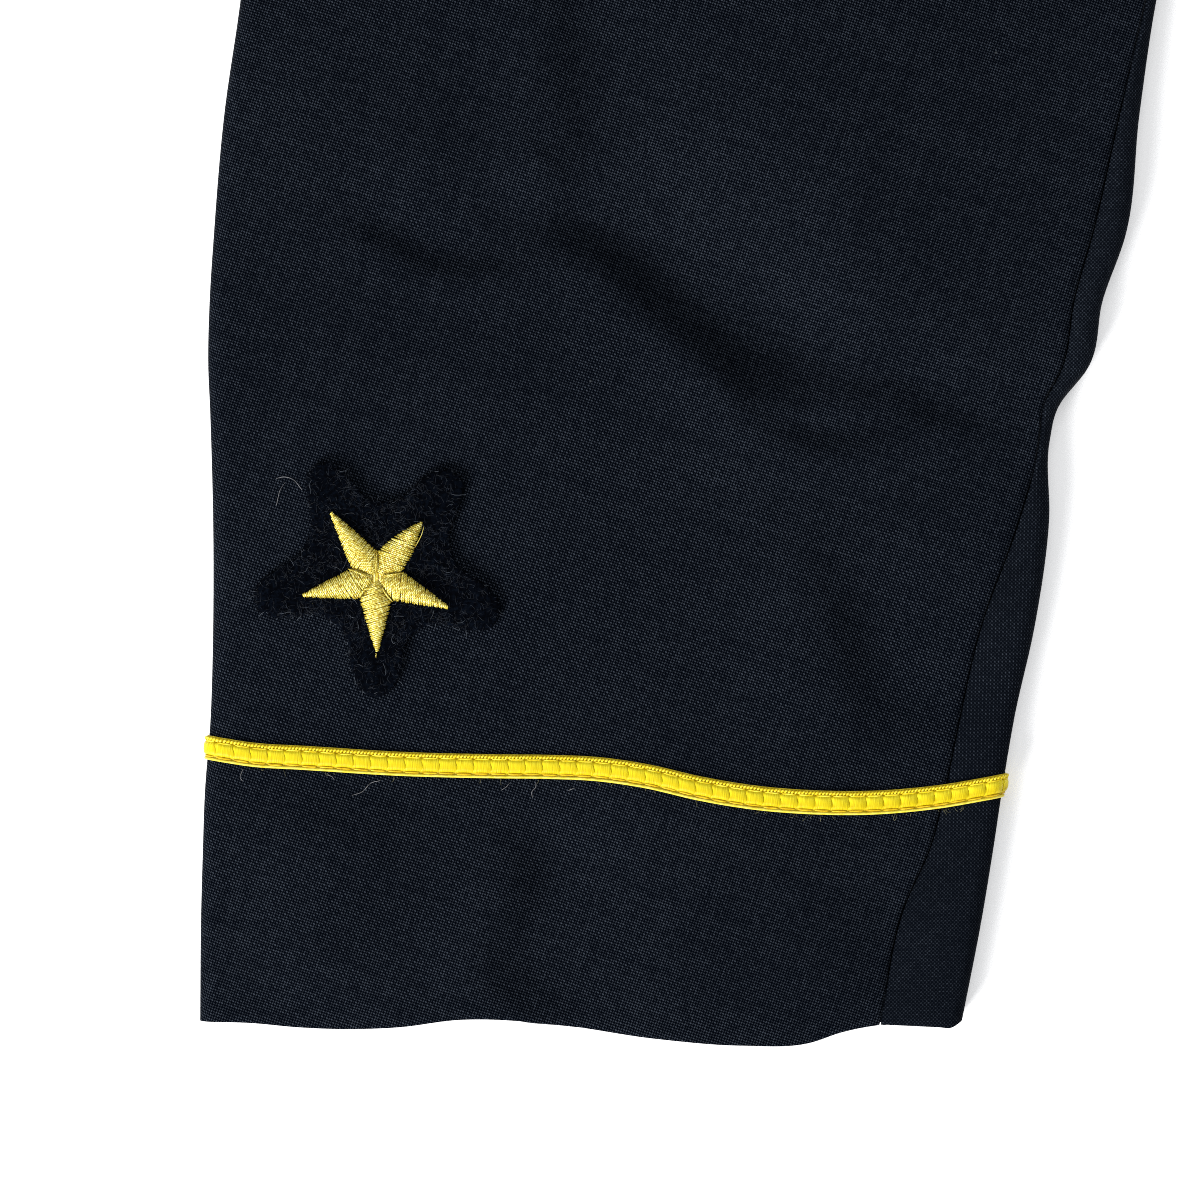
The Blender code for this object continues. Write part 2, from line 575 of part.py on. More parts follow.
class Sleeve:
    """A flattened tube of cloth. A place on it is a height up from the cuff and a turn round the section:
    0 to 1 up the inner edge, 1 to 2 over the top, 2 to 3 round the outer edge, 3 to 4 underneath, 4 to 5 back up."""

    def __init__(self, folds):
        self.folds = folds

    def plan(self, row, across):
        """A place across the row, from its outer edge at 0 to its inner one at 1."""
        outer = np.array((row.outer_x, row.outer_y))
        inner = np.array((row.inner_x, row.inner_y))
        chord = inner - outer
        inward = np.array((chord[1], -chord[0])) / np.linalg.norm(chord)
        return outer + chord * across + inward * row.bow * 4 * across * (1 - across)

    def lift(self, up, across):
        """How far the underside is raised to pass over the braid."""
        away = abs(up - braid_under(across))
        return (BRAID_WALL + GAP) * (1.0 - ramp(LIFT_FLAT, LIFT_END, away))

    def top(self, up, across):
        row = station(up)
        crown = 1.0 - abs(2 * across - 1) ** CROWN_POWER
        height = row.edge + (row.crown - row.edge) * crown
        x, y = self.plan(row, across)
        width = math.hypot(row.inner_x - row.outer_x, row.inner_y - row.outer_y)
        inside = min(across, 1 - across) * width
        lower = sum(fold_depth(fold, x, y) for fold in self.folds)
        return height - lower * ramp(2.0, 10.0, inside)

    def place(self, up, turn, out=0.0):
        """The point there, moved out from the surface."""
        row = station(up)
        width = math.hypot(row.inner_x - row.outer_x, row.inner_y - row.outer_y)
        radius = row.edge / 2
        turn %= 5.0
        edge_share = radius / width
        if 1.0 <= turn <= 2.0:
            across = 1 - edge_share - (turn - 1) * (1 - 2 * edge_share)
            z = self.top(up, across) + out
        elif 3.0 <= turn <= 4.0:
            across = edge_share + (turn - 3) * (1 - 2 * edge_share)
            z = self.lift(up, across) - out
        else:
            inner = turn < 1.0 or turn > 4.0
            angle = turn * math.pi / 2 if turn < 1.0 else (turn - 5.0) * math.pi / 2
            if not inner:
                angle = math.pi / 2 - (turn - 2.0) * math.pi
            across_flat = 1 - edge_share if inner else edge_share
            low = self.lift(up, across_flat)
            high = self.top(up, across_flat)
            reach = (radius + out) * math.cos(angle)
            across = across_flat + (reach if inner else -reach) / width
            z = (low + high) / 2 + ((high - low) / 2 + out) * math.sin(angle)
        x, y = self.plan(row, across)
        y -= self.hem_drop(up, across)
        return np.array((x, y, z))

    def hem_drop(self, up, across):
        stops, values = zip(*HEM_WAVE)
        return float(glide(stops, values, across)) * (1.0 - float(ramp(0.0, HEM_FADE, up)))

    def fore_turn(self, up, shift):
        """The turn of the forearm seam, moved over the top by shift."""
        row = station(up)
        width = math.hypot(row.inner_x - row.outer_x, row.inner_y - row.outer_y)
        radius = row.edge / 2
        inset = max(row.fore + shift, 0.02)
        if inset < radius:
            return math.acos(1 - inset / radius) / (math.pi / 2)
        return 1.0 + (inset - radius) / (width - 2 * radius)

    def hind_turn(self, up, shift):
        row = station(up)
        width = math.hypot(row.inner_x - row.outer_x, row.inner_y - row.outer_y)
        radius = row.edge / 2
        share = min(HINDARM_INSET / width, 0.3)
        return 3.0 + (share * width + shift - radius) / (width - 2 * radius)

    def topsleeve_turns(self, up, over, edge, under):
        """Turns from the forearm seam over the top and round the outer edge to the hindarm seam."""
        start = self.fore_turn(up, SEAM_HALF)
        end = self.hind_turn(up, -SEAM_HALF)
        turns = [start + (2.0 - start) * (k / over) ** 1.15 for k in range(over)]
        turns += list(np.linspace(2.0, 3.0, edge + 1))
        turns += [3.0 + (end - 3.0) * k / under for k in range(1, under + 1)]
        return turns

    def undersleeve_turns(self, up, under, edge, strip):
        """Turns from the hindarm seam underneath and round the inner edge to the forearm seam."""
        start = self.hind_turn(up, SEAM_HALF)
        end = self.fore_turn(up, -SEAM_HALF)
        turns = [start + (4.0 - start) * k / under for k in range(under)]
        turns += list(np.linspace(4.0, 5.0, edge + 1))
        turns += [5.0 + end * k / strip for k in range(1, strip + 1)]
        return turns

    def grid(self, ups, turns_at, out):
        return np.array([[self.place(up, turn, out) for turn in turns_at(up)] for up in ups])


def sleeve_ups(fine, coarse):
    """Rows close together up to where the folds of the lower sleeve end, and further apart above."""
    lower_end = 182.0
    upper_end = STATIONS[-1].up
    return list(np.linspace(0.0, lower_end, fine, endpoint=False)) + list(
        np.linspace(lower_end, upper_end, coarse + 1)
    )


def make_sleeve(side, mirror, folds, fine, coarse, over, under):
    sleeve = Sleeve(folds)
    ups = sleeve_ups(fine, coarse)

    def top_turns(up):
        return sleeve.topsleeve_turns(up, over, 4, 2)

    def under_turns(up):
        return sleeve.undersleeve_turns(up, under, 2, 3)

    for name, turns_at in (("topsleeve", top_turns), ("undersleeve", under_turns)):
        outer = sleeve.grid(ups, turns_at, 0.0)
        inner = sleeve.grid(ups, turns_at, -SLEEVE_WALL)
        wall(f"{name}_{side}", outer, inner, "cloth", mirror)
    make_braid(side, mirror, sleeve, over, under)
    make_star_felt(side, mirror, sleeve)
    make_star_gold(side, mirror, sleeve)


def make_braid(side, mirror, sleeve, over, under):
    """A ring of braid round the cuff, on the points of the sleeve moved out."""
    middle = braid_up(0.5)
    turns = sleeve.topsleeve_turns(middle, over, 4, 2)
    turns += sleeve.undersleeve_turns(middle, under, 2, 3)
    grids = []
    for out in (GAP + BRAID_WALL, GAP):
        rows = []
        for aside in (-BRAID_WIDTH / 2, 0.0, BRAID_WIDTH / 2):
            row = []
            for turn in turns:
                first = sleeve.place(middle, turn)
                here = station(middle)
                across = (here.outer_x - first[0]) / (here.outer_x - here.inner_x)
                on_top = (turn % 5.0) < 2.5
                up = braid_up(across) if on_top else braid_under(across)
                row.append(sleeve.place(up + aside, turn, out))
            rows.append(row)
        grids.append(np.array(rows))
    wall(f"braid_{side}", grids[0], grids[1], "braid", mirror, ring=True)


def sleeve_top_at(sleeve, x, y):
    """The height of the sleeve's top at a place of its lower part, where its rows lie straight across."""
    up = y - STATIONS[0].outer_y
    row = station(up)
    return sleeve.top(up, (row.outer_x - x) / (row.outer_x - row.inner_x))


def felt_outline():
    """The rounded star of felt, as offsets from its middle."""
    points = []
    for k, (angle, length, half, notch) in enumerate(FELT_ARMS):
        way = np.array((math.cos(math.radians(angle)), math.sin(math.radians(angle))))
        aside = np.array((-way[1], way[0]))
        centre = way * (length - half)
        for step in range(FELT_TIP_POINTS):
            turn = math.radians(-80 + 160 * step / (FELT_TIP_POINTS - 1))
            points.append(centre + half * (way * math.cos(turn) + aside * math.sin(turn)))
        following = FELT_ARMS[(k + 1) % len(FELT_ARMS)][0]
        between = math.radians(angle + ((following - angle) % 360) / 2)
        for spread in (-0.14, 0.14):
            points.append(notch * np.array((math.cos(between + spread), math.sin(between + spread))))
    return points


def make_star_felt(side, mirror, sleeve):
    outline = felt_outline()
    count = len(outline)
    points = []
    for out in (FELT_CLEAR, FELT_CLEAR + FELT_WALL):
        for share in (1.0, 0.55, 0.0):
            for offset in outline if share else outline[:1]:
                x, y = np.array(STAR_AT) + offset * share
                points.append((x, y, sleeve_top_at(sleeve, x, y) + out))
    layer = 2 * count + 1
    faces = []
    for k in range(count):
        following = (k + 1) % count
        for base in (0, layer):
            faces.append((base + k, base + following, base + count + following, base + count + k))
            faces.append((base + count + k, base + count + following, base + 2 * count))
        faces.append((k, following, layer + following, layer + k))
    solid(f"star_felt_{side}", points, faces, "felt", mirror)


def make_star_gold(side, mirror, sleeve):
    """The embroidered star: flat under, with a ridge along each arm."""
    ring = []
    ridges = []
    for k, (angle, length) in enumerate(GOLD_ARMS):
        way = np.array((math.cos(math.radians(angle)), math.sin(math.radians(angle))))
        following = GOLD_ARMS[(k + 1) % len(GOLD_ARMS)][0]
        between = math.radians(angle + ((following - angle) % 360) / 2)
        notch = GOLD_NOTCH * np.array((math.cos(between), math.sin(between)))
        before = GOLD_ARMS[k - 1][0]
        behind = math.radians(angle - ((angle - before) % 360) / 2)
        notch_before = GOLD_NOTCH * np.array((math.cos(behind), math.sin(behind)))
        tip = way * length
        ring += [notch_before * 0.5 + tip * 0.5, tip, notch * 0.5 + tip * 0.5, notch]
        ridges.append(way * length * GOLD_BELLY)
    count = len(ring)
    base = FELT_CLEAR + FELT_WALL + FELT_CLEAR
    points = []

    def add(offset, height):
        x, y = np.array(STITCHED_AT) + offset
        points.append((x, y, sleeve_top_at(sleeve, x, y) + base + height))
        return len(points) - 1

    low = [add(offset, 0.0) for offset in ring]
    high = [add(offset, GOLD_EDGE) for offset in ring]
    low_middle = add(np.zeros(2), 0.0)
    high_middle = add(np.zeros(2), GOLD_RIDGE * 0.75)
    crests = [add(offset, GOLD_RIDGE) for offset in ridges]
    faces = []
    for k in range(count):
        following = (k + 1) % count
        faces.append((low[k], low[following], low_middle))
        faces.append((low[k], low[following], high[following], high[k]))
    for k, crest in enumerate(crests):
        first = 4 * k
        before = high[(first - 1) % count]
        near, tip, far, notch = (high[first + step] for step in range(4))
        for a, b in ((before, near), (near, tip), (tip, far), (far, notch)):
            faces.append((a, b, crest))
        faces.append((notch, high_middle, crest))
        faces.append((high_middle, before, crest))
    solid(f"star_gold_{side}", points, faces, "gold_thread", mirror)


# Buttons


def make_button(name, mirror, x, y):
    """A plain domed button on the front."""
    around = [math.tau * k / BUTTON_SIDES for k in range(BUTTON_SIDES)]
    seat = max(front_top(x + BUTTON_RADIUS * math.cos(a), y + BUTTON_RADIUS * math.sin(a)) for a in around) + GAP
    rings = [(0.9, 0.0), (1.0, 0.35), (1.0, BUTTON_RIM)]
    dome = BUTTON_HEIGHT - BUTTON_RIM
    rings += [(math.cos(turn), BUTTON_RIM + dome * math.sin(turn)) for turn in (0.45, 0.9, 1.25)]
    points = [
        (x + BUTTON_RADIUS * share * math.cos(a), y + BUTTON_RADIUS * share * math.sin(a), seat + height)
        for share, height in rings
        for a in around
    ]
    points.append((x, y, seat + BUTTON_HEIGHT))
    last = (len(rings) - 1) * BUTTON_SIDES
    faces = [tuple(range(BUTTON_SIDES))]
    for k in range(BUTTON_SIDES):
        following = (k + 1) % BUTTON_SIDES
        for ring in range(len(rings) - 1):
            low = ring * BUTTON_SIDES
            high = low + BUTTON_SIDES
            faces.append((low + k, low + following, high + following, high + k))
        faces.append((last + k, last + following, len(points) - 1))
    solid(name, points, faces, "brass", mirror)


def centre_on_origin():
    """Moves every piece so that the origin is at the middle of the jacket's box, at its lowest point."""
    pieces = list(bpy.context.scene.collection.objects)
    corners = np.array([vertex.co[:] for piece in pieces for vertex in piece.data.vertices])
    low, high = corners.min(axis=0), corners.max(axis=0)
    shift = Vector(((low[0] + high[0]) / -2, (low[1] + high[1]) / -2, -low[2]))
    for piece in pieces:
        for vertex in piece.data.vertices:
            vertex.co += shift
    return shift


def build():
    for thing in list(bpy.data.objects):
        bpy.data.objects.remove(thing)
    make_back()
    make_back_lining()
    make_collar()
    for side, mirror in (("left", False), ("right", True)):
        make_front(side, mirror)
        make_lapel(side, mirror)
        for number, (x, y) in enumerate(BUTTONS_AT, start=1):
            make_button(f"button_{side}_{number}", mirror, x, y)
    make_sleeve("right", True, RIGHT_FOLDS, fine=24, coarse=17, over=15, under=6)
    make_sleeve("left", False, LEFT_FOLDS, fine=12, coarse=15, over=11, under=5)
    centre_on_origin()


build()
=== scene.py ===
# A mess dress jacket laid flat on its back, seen as close as the photo: the lower end of its right sleeve.
# The cloth, the cuff braid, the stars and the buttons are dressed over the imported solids.
import math
import random

import bpy
import numpy as np
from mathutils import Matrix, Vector, noise
from mathutils.bvhtree import BVHTree


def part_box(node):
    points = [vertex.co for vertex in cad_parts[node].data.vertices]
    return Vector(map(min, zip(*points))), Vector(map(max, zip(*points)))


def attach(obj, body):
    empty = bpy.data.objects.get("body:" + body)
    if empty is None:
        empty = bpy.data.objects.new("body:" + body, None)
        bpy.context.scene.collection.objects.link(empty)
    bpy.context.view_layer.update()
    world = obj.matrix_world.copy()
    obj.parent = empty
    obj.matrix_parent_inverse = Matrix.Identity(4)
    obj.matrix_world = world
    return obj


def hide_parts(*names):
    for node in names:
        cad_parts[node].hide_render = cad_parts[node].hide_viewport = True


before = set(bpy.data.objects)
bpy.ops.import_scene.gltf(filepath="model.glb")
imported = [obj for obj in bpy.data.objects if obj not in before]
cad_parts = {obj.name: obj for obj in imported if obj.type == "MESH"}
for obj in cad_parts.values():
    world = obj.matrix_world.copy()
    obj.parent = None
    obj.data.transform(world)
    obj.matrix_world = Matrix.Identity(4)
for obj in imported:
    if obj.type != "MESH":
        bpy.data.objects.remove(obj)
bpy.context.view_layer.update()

mm = 0.001
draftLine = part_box("back")[0].y + 52 * mm  # the side hem, from which every draft below measures its y
sides = {"right": -1.0, "left": 1.0}  # the wearer's sides, as the sign of x


# Helpers


def deselectAll():
    if bpy.context.object and bpy.context.object.mode != "OBJECT":
        bpy.ops.object.mode_set(mode="OBJECT")
    bpy.ops.object.select_all(action="DESELECT")


def pick(piece):
    deselectAll()
    piece.select_set(True)
    bpy.context.view_layer.objects.active = piece


def editAll(piece):
    pick(piece)
    bpy.ops.object.mode_set(mode="EDIT")
    bpy.ops.mesh.select_mode(type="VERT")
    bpy.ops.mesh.select_all(action="SELECT")


def stopEditing():
    bpy.ops.object.mode_set(mode="OBJECT")


def applyAll(piece):
    pick(piece)
    for modifier in list(piece.modifiers):
        bpy.ops.object.modifier_apply(modifier=modifier.name)


def joinAll(pieces, name):
    deselectAll()
    for piece in pieces:
        piece.select_set(True)
    bpy.context.view_layer.objects.active = pieces[0]
    bpy.ops.object.join()
    pieces[0].name = name
    return pieces[0]


def pointsOf(piece):
    flat = np.empty(len(piece.data.vertices) * 3)
    piece.data.vertices.foreach_get("co", flat)
    return flat.reshape(-1, 3)


def normalsOf(piece):
    flat = np.empty(len(piece.data.vertices) * 3)
    piece.data.vertices.foreach_get("normal", flat)
    return flat.reshape(-1, 3)


def setPoints(piece, where):
    piece.data.vertices.foreach_set("co", np.ascontiguousarray(where, dtype=np.float32).ravel())
    piece.data.update()


def addObject(name, data):
    made = bpy.data.objects.new(name, data)
    bpy.context.scene.collection.objects.link(made)
    return made


def newGrid(name, columns, rows):
    # a sheet of quads with that many points each way, to be moved into place
    deselectAll()
    bpy.ops.mesh.primitive_grid_add(x_subdivisions=columns - 1, y_subdivisions=rows - 1)
    bpy.context.object.name = name
    return bpy.context.object


def repeat(piece, count, step):
    row = piece.modifiers.new("row", "ARRAY")
    row.count = count
    row.use_relative_offset = False
    row.use_constant_offset = True
    row.constant_offset_displace = step
    applyAll(piece)


def faceOut(piece, merge=0.0):
    editAll(piece)
    if merge:
        bpy.ops.mesh.remove_doubles(threshold=merge * mm)
    bpy.ops.mesh.normals_make_consistent(inside=False)
    stopEditing()


def turnUp(piece, face):
    # turns a sheet over if that face of it looks down
    if piece.data.polygons[face].normal.z < 0:
        editAll(piece)
        bpy.ops.mesh.flip_normals()
        stopEditing()


def shadeRound(piece, angle):
    pick(piece)
    bpy.ops.object.shade_smooth_by_angle(angle=math.radians(angle))


def setShade(piece, values):
    made = piece.data.attributes.new("shade", "FLOAT", "POINT")
    made.data.foreach_set("value", values.astype(np.float32))


def cornersOf(piece):
    corner = np.empty(len(piece.data.loops), dtype=np.int32)
    piece.data.loops.foreach_get("vertex_index", corner)
    return corner


def newMap(piece, name):
    # puts one empty UV map in place of the mesh's own
    layers = piece.data.uv_layers
    while layers:
        layers.remove(layers[0])
    layers.new(name=name)


def fillMap(piece, across, up):
    flat = np.stack([across, up], axis=1).astype(np.float32)
    piece.data.uv_layers[0].data.foreach_set("uv", flat.ravel())


def setFlatMap(piece, name, across, up):
    # gives every corner of the mesh a UV from two numbers held per vertex
    newMap(piece, name)
    corner = cornersOf(piece)
    fillMap(piece, across[corner], up[corner])


def ramp(low, high, value):
    share = np.clip((value - low) / (high - low), 0.0, 1.0)
    return share * share * (3 - 2 * share)


def glide(stops, values, at):
    # values at many places of smooth curves through the rows of a table
    slopes = np.gradient(values, stops, axis=0)
    at = np.clip(at, stops[0], stops[-1])
    k = np.clip(np.searchsorted(stops, at, side="right") - 1, 0, len(stops) - 2)
    span = (stops[k + 1] - stops[k])[:, None]
    t = (at - stops[k])[:, None] / span
    start = (2 * t**3 - 3 * t**2 + 1) * values[k] + (t**3 - 2 * t**2 + t) * span * slopes[k]
    return start + (3 * t**2 - 2 * t**3) * values[k + 1] + (t**3 - t**2) * span * slopes[k + 1]


def curveThrough(spots, count):
    # a smooth line of count points through a few, evenly spaced along it
    spots = np.asarray(spots, float)
    stops = np.concatenate([[0.0], np.cumsum(np.linalg.norm(np.diff(spots, axis=0), axis=1))])
    return glide(stops, spots, np.linspace(0.0, stops[-1], count))


def draft(side, spots):
    # points of a draft in millimetres as places of the scene, on the wearer's side asked for
    spots = np.asarray(spots, float)
    return np.stack([sides[side] * spots[..., 0] * mm, draftLine + spots[..., 1] * mm], axis=-1)


def finishPiece(piece, node):
    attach(piece, "root")
    if node:
        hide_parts(node)


# Materials


def feed(tree, socket, value):
    if isinstance(value, bpy.types.NodeSocket):
        tree.links.new(value, socket)
    else:
        socket.default_value = value


def calc(tree, operation, *values):
    made = tree.nodes.new("ShaderNodeMath")
    made.operation = operation
    for socket, value in zip(made.inputs, values):
        feed(tree, socket, value)
    return made.outputs[0]


def blend(tree, share, first, second, kind="FLOAT"):
    made = tree.nodes.new("ShaderNodeMix")
    made.data_type = kind
    places = {"FLOAT": (2, 3, 0), "RGBA": (6, 7, 2)}[kind]
    feed(tree, made.inputs[0], share)
    feed(tree, made.inputs[places[0]], first)
    feed(tree, made.inputs[places[1]], second)
    return made.outputs[places[2]]


def tint(tree, share, first, second):
    # a colour between two, each of them a socket or three numbers
    first, second = ((*given, 1.0) if isinstance(given, tuple) else given for given in (first, second))
    return blend(tree, share, first, second, "RGBA")


def remap(tree, value, low, high, toLow=0.0, toHigh=1.0):
    made = tree.nodes.new("ShaderNodeMapRange")
    for socket, given in zip(made.inputs, (value, low, high, toLow, toHigh)):
        feed(tree, socket, given)
    return made.outputs[0]


def vectorOf(tree, x, y, z=0.0):
    made = tree.nodes.new("ShaderNodeCombineXYZ")
    for socket, given in zip(made.inputs, (x, y, z)):
        feed(tree, socket, given)
    return made.outputs[0]


def partsOf(tree, vector):
    made = tree.nodes.new("ShaderNodeSeparateXYZ")
    feed(tree, made.inputs[0], vector)
    return made.outputs[0], made.outputs[1]


def clouds(tree, vector, scale, detail=2.0, roughness=0.5):
    made = tree.nodes.new("ShaderNodeTexNoise")
    feed(tree, made.inputs["Vector"], vector)
    feed(tree, made.inputs["Scale"], scale)
    made.inputs["Detail"].default_value = detail
    made.inputs["Roughness"].default_value = roughness
    return made.outputs[0]


def lottery(tree, first, second):
    # a number of its own, from 0 to 1, for each whole pair of numbers
    made = tree.nodes.new("ShaderNodeTexWhiteNoise")
    made.noise_dimensions = "2D"
    feed(tree, made.inputs["Vector"], vectorOf(tree, first, second))
    return made.outputs[0]


def newGroup(name, takes, gives):
    group = bpy.data.node_groups.new(name, "ShaderNodeTree")
    for label, kind in takes:
        group.interface.new_socket(name=label, in_out="INPUT", socket_type="NodeSocket" + kind)
    for label, kind in gives:
        group.interface.new_socket(name=label, in_out="OUTPUT", socket_type="NodeSocket" + kind)
    return group, group.nodes.new("NodeGroupInput").outputs, group.nodes.new("NodeGroupOutput").inputs


def useGroup(tree, group, **values):
    made = tree.nodes.new("ShaderNodeGroup")
    made.node_tree = group
    for label, value in values.items():
        feed(tree, made.inputs[label], value)
    return made.outputs


def makePlainWeave():
    # floats of yarn over and under one another, toned with painted light and shade. Yarns is a map in metres
    # with a yarn along each axis
    tree, given, out = newGroup(
        "plain weave",
        [("Yarns", "Vector"), ("Along", "Float"), ("Across", "Float"), ("Waver", "Float"), ("Rows", "Float")],
        [("Tone", "Float"), ("Height", "Float")],
    )
    x, y = partsOf(tree, given["Yarns"])
    driftX = calc(tree, "SUBTRACT", clouds(tree, given["Yarns"], 170.0, 3.0), 0.5)
    driftY = calc(tree, "SUBTRACT", clouds(tree, vectorOf(tree, y, x), 190.0, 3.0), 0.5)
    s = calc(tree, "MULTIPLY_ADD", driftX, given["Waver"], calc(tree, "DIVIDE", x, given["Along"]))
    t = calc(tree, "MULTIPLY_ADD", driftY, given["Waver"], calc(tree, "DIVIDE", y, given["Across"]))
    cosS, sinS = (calc(tree, kind, calc(tree, "MULTIPLY", s, math.pi)) for kind in ("COSINE", "SINE"))
    cosT, sinT = (calc(tree, kind, calc(tree, "MULTIPLY", t, math.pi)) for kind in ("COSINE", "SINE"))
    lumpS, lumpT = calc(tree, "ABSOLUTE", cosS), calc(tree, "ABSOLUTE", cosT)
    weftUp = calc(tree, "GREATER_THAN", calc(tree, "MULTIPLY", cosS, cosT), 0.0)
    flat, narrow = 0.7, 2.0  # how a float's light falls off along its yarn and across it
    weft = calc(tree, "MULTIPLY", calc(tree, "POWER", lumpS, flat), calc(tree, "POWER", lumpT, narrow))
    warp = calc(tree, "MULTIPLY", calc(tree, "POWER", lumpS, narrow), calc(tree, "POWER", lumpT, flat))
    height = blend(tree, weftUp, warp, weft)
    hole = calc(tree, "POWER", calc(tree, "MAXIMUM", calc(tree, "MULTIPLY", sinS, sinT), 0.0), 0.8)
    column, row = calc(tree, "ROUND", s), calc(tree, "ROUND", t)
    yarn = blend(tree, weftUp, lottery(tree, column, 3.0), lottery(tree, 7.0, row))
    dot = lottery(tree, column, row)
    uneven = calc(tree, "MULTIPLY_ADD", calc(tree, "POWER", dot, 1.3), 0.55, 0.68)
    uneven = calc(tree, "MULTIPLY", uneven, calc(tree, "MULTIPLY_ADD", yarn, 0.34, 0.83))
    lean = blend(tree, weftUp, *(calc(tree, kind, 1.0, given["Rows"]) for kind in ("SUBTRACT", "ADD")))
    tone = calc(tree, "MULTIPLY", calc(tree, "MULTIPLY", height, uneven), lean)
    # painted shade in the holes between the yarns
    tone = calc(tree, "MULTIPLY", tone, calc(tree, "SUBTRACT", 1.0, calc(tree, "MULTIPLY", hole, 0.95)))
    feed(tree, out["Tone"], calc(tree, "POWER", calc(tree, "MAXIMUM", tone, 0.0), 1.5))
    feed(tree, out["Height"], calc(tree, "SUBTRACT", height, hole))
    return tree


def makeTwist():
    # a thread's ply. Thread is a map with metres along the thread and a full turn across it
    tree, given, out = newGroup(
        "thread twist",
        [("Thread", "Vector"), ("Pitch", "Float"), ("Patches", "Float")],
        [("Groove", "Float"), ("Tone", "Float")],
    )
    x, y = partsOf(tree, given["Thread"])
    turn = calc(tree, "MULTIPLY_ADD", y, 2.0, calc(tree, "DIVIDE", x, given["Pitch"]))
    wave = calc(tree, "SINE", calc(tree, "MULTIPLY", turn, math.pi))
    feed(tree, out["Groove"], calc(tree, "ABSOLUTE", wave))
    stretched = vectorOf(tree, calc(tree, "MULTIPLY", x, given["Patches"]), calc(tree, "MULTIPLY", y, 1.5))
    feed(tree, out["Tone"], clouds(tree, stretched, 1.0, 2.0, 0.6))
    return tree


def makeSpecks():
    # rare pale dots of lint. Place is in metres
    tree, given, out = newGroup("specks", [("Place", "Vector"), ("Spacing", "Float")], [("Mask", "Float")])
    cells = tree.nodes.new("ShaderNodeTexVoronoi")
    feed(tree, cells.inputs["Vector"], given["Place"])
    feed(tree, cells.inputs["Scale"], calc(tree, "DIVIDE", 1.0, given["Spacing"]))
    near = remap(tree, cells.outputs["Distance"], 0.010, 0.026, 1.0, 0.0)
    rare = calc(tree, "GREATER_THAN", partsOf(tree, cells.outputs["Color"])[0], 0.55)
    feed(tree, out["Mask"], calc(tree, "MULTIPLY", near, rare))
    return tree


def newMaterial(name, colour, roughness, **more):
    made = bpy.data.materials.new(name)
    made.use_nodes = True
    made.diffuse_color = (*colour, 1.0)
    shader = made.node_tree.nodes["Principled BSDF"]
    shader.inputs["Base Color"].default_value = (*colour, 1.0)
    shader.inputs["Roughness"].default_value = roughness
    for label, value in more.items():
        shader.inputs[label.replace("_", " ")].default_value = value
    return made, made.node_tree, shader


def mapNamed(tree, name):
    made = tree.nodes.new("ShaderNodeUVMap")
    made.uv_map = name
    return made.outputs[0]


def shadeOf(tree):
    made = tree.nodes.new("ShaderNodeAttribute")
    made.attribute_name = "shade"
    return made.outputs["Fac"]


def placeOf(tree):
    return tree.nodes.new("ShaderNodeTexCoord").outputs["Object"]


def addBump(tree, shader, height, distance, strength=1.0):
    made = tree.nodes.new("ShaderNodeBump")
    made.inputs["Strength"].default_value = strength
    made.inputs["Distance"].default_value = distance
    feed(tree, made.inputs["Height"], height)
    tree.links.new(made.outputs[0], shader.inputs["Normal"])


print("materials")
plainWeave, twist, specks = makePlainWeave(), makeTwist(), makeSpecks()

worstedLook = dict(
    along=0.45 * mm, across=0.475 * mm, waver=0.55,  # a yarn crossing, and how far yarns wander, in crossings
    dark=(0.0002, 0.0006, 0.0018), light=(0.0325, 0.0395, 0.0515), bump=0.05 * mm,
    # the last two: where the undersleeve's painted shade is full and where it has faded out, in millimetres
    # from the side hem
    lint=(0.05, 0.055, 0.06), spacing=12 * mm, paintedShadeFrom=-152.0, paintedShadeTo=-118.0,
)
liningLook = dict(along=0.12 * mm, across=0.30 * mm, dark=(0.004, 0.004, 0.006), light=(0.012, 0.0135, 0.02))
feltLook = dict(dark=(0.0002, 0.0004, 0.0011), light=(0.0022, 0.0039, 0.0078))
goldTones = ((0.28, 0.135, 0.003), (0.66, 0.56, 0.055), (1.0, 0.96, 0.42))  # deep, middle and pale


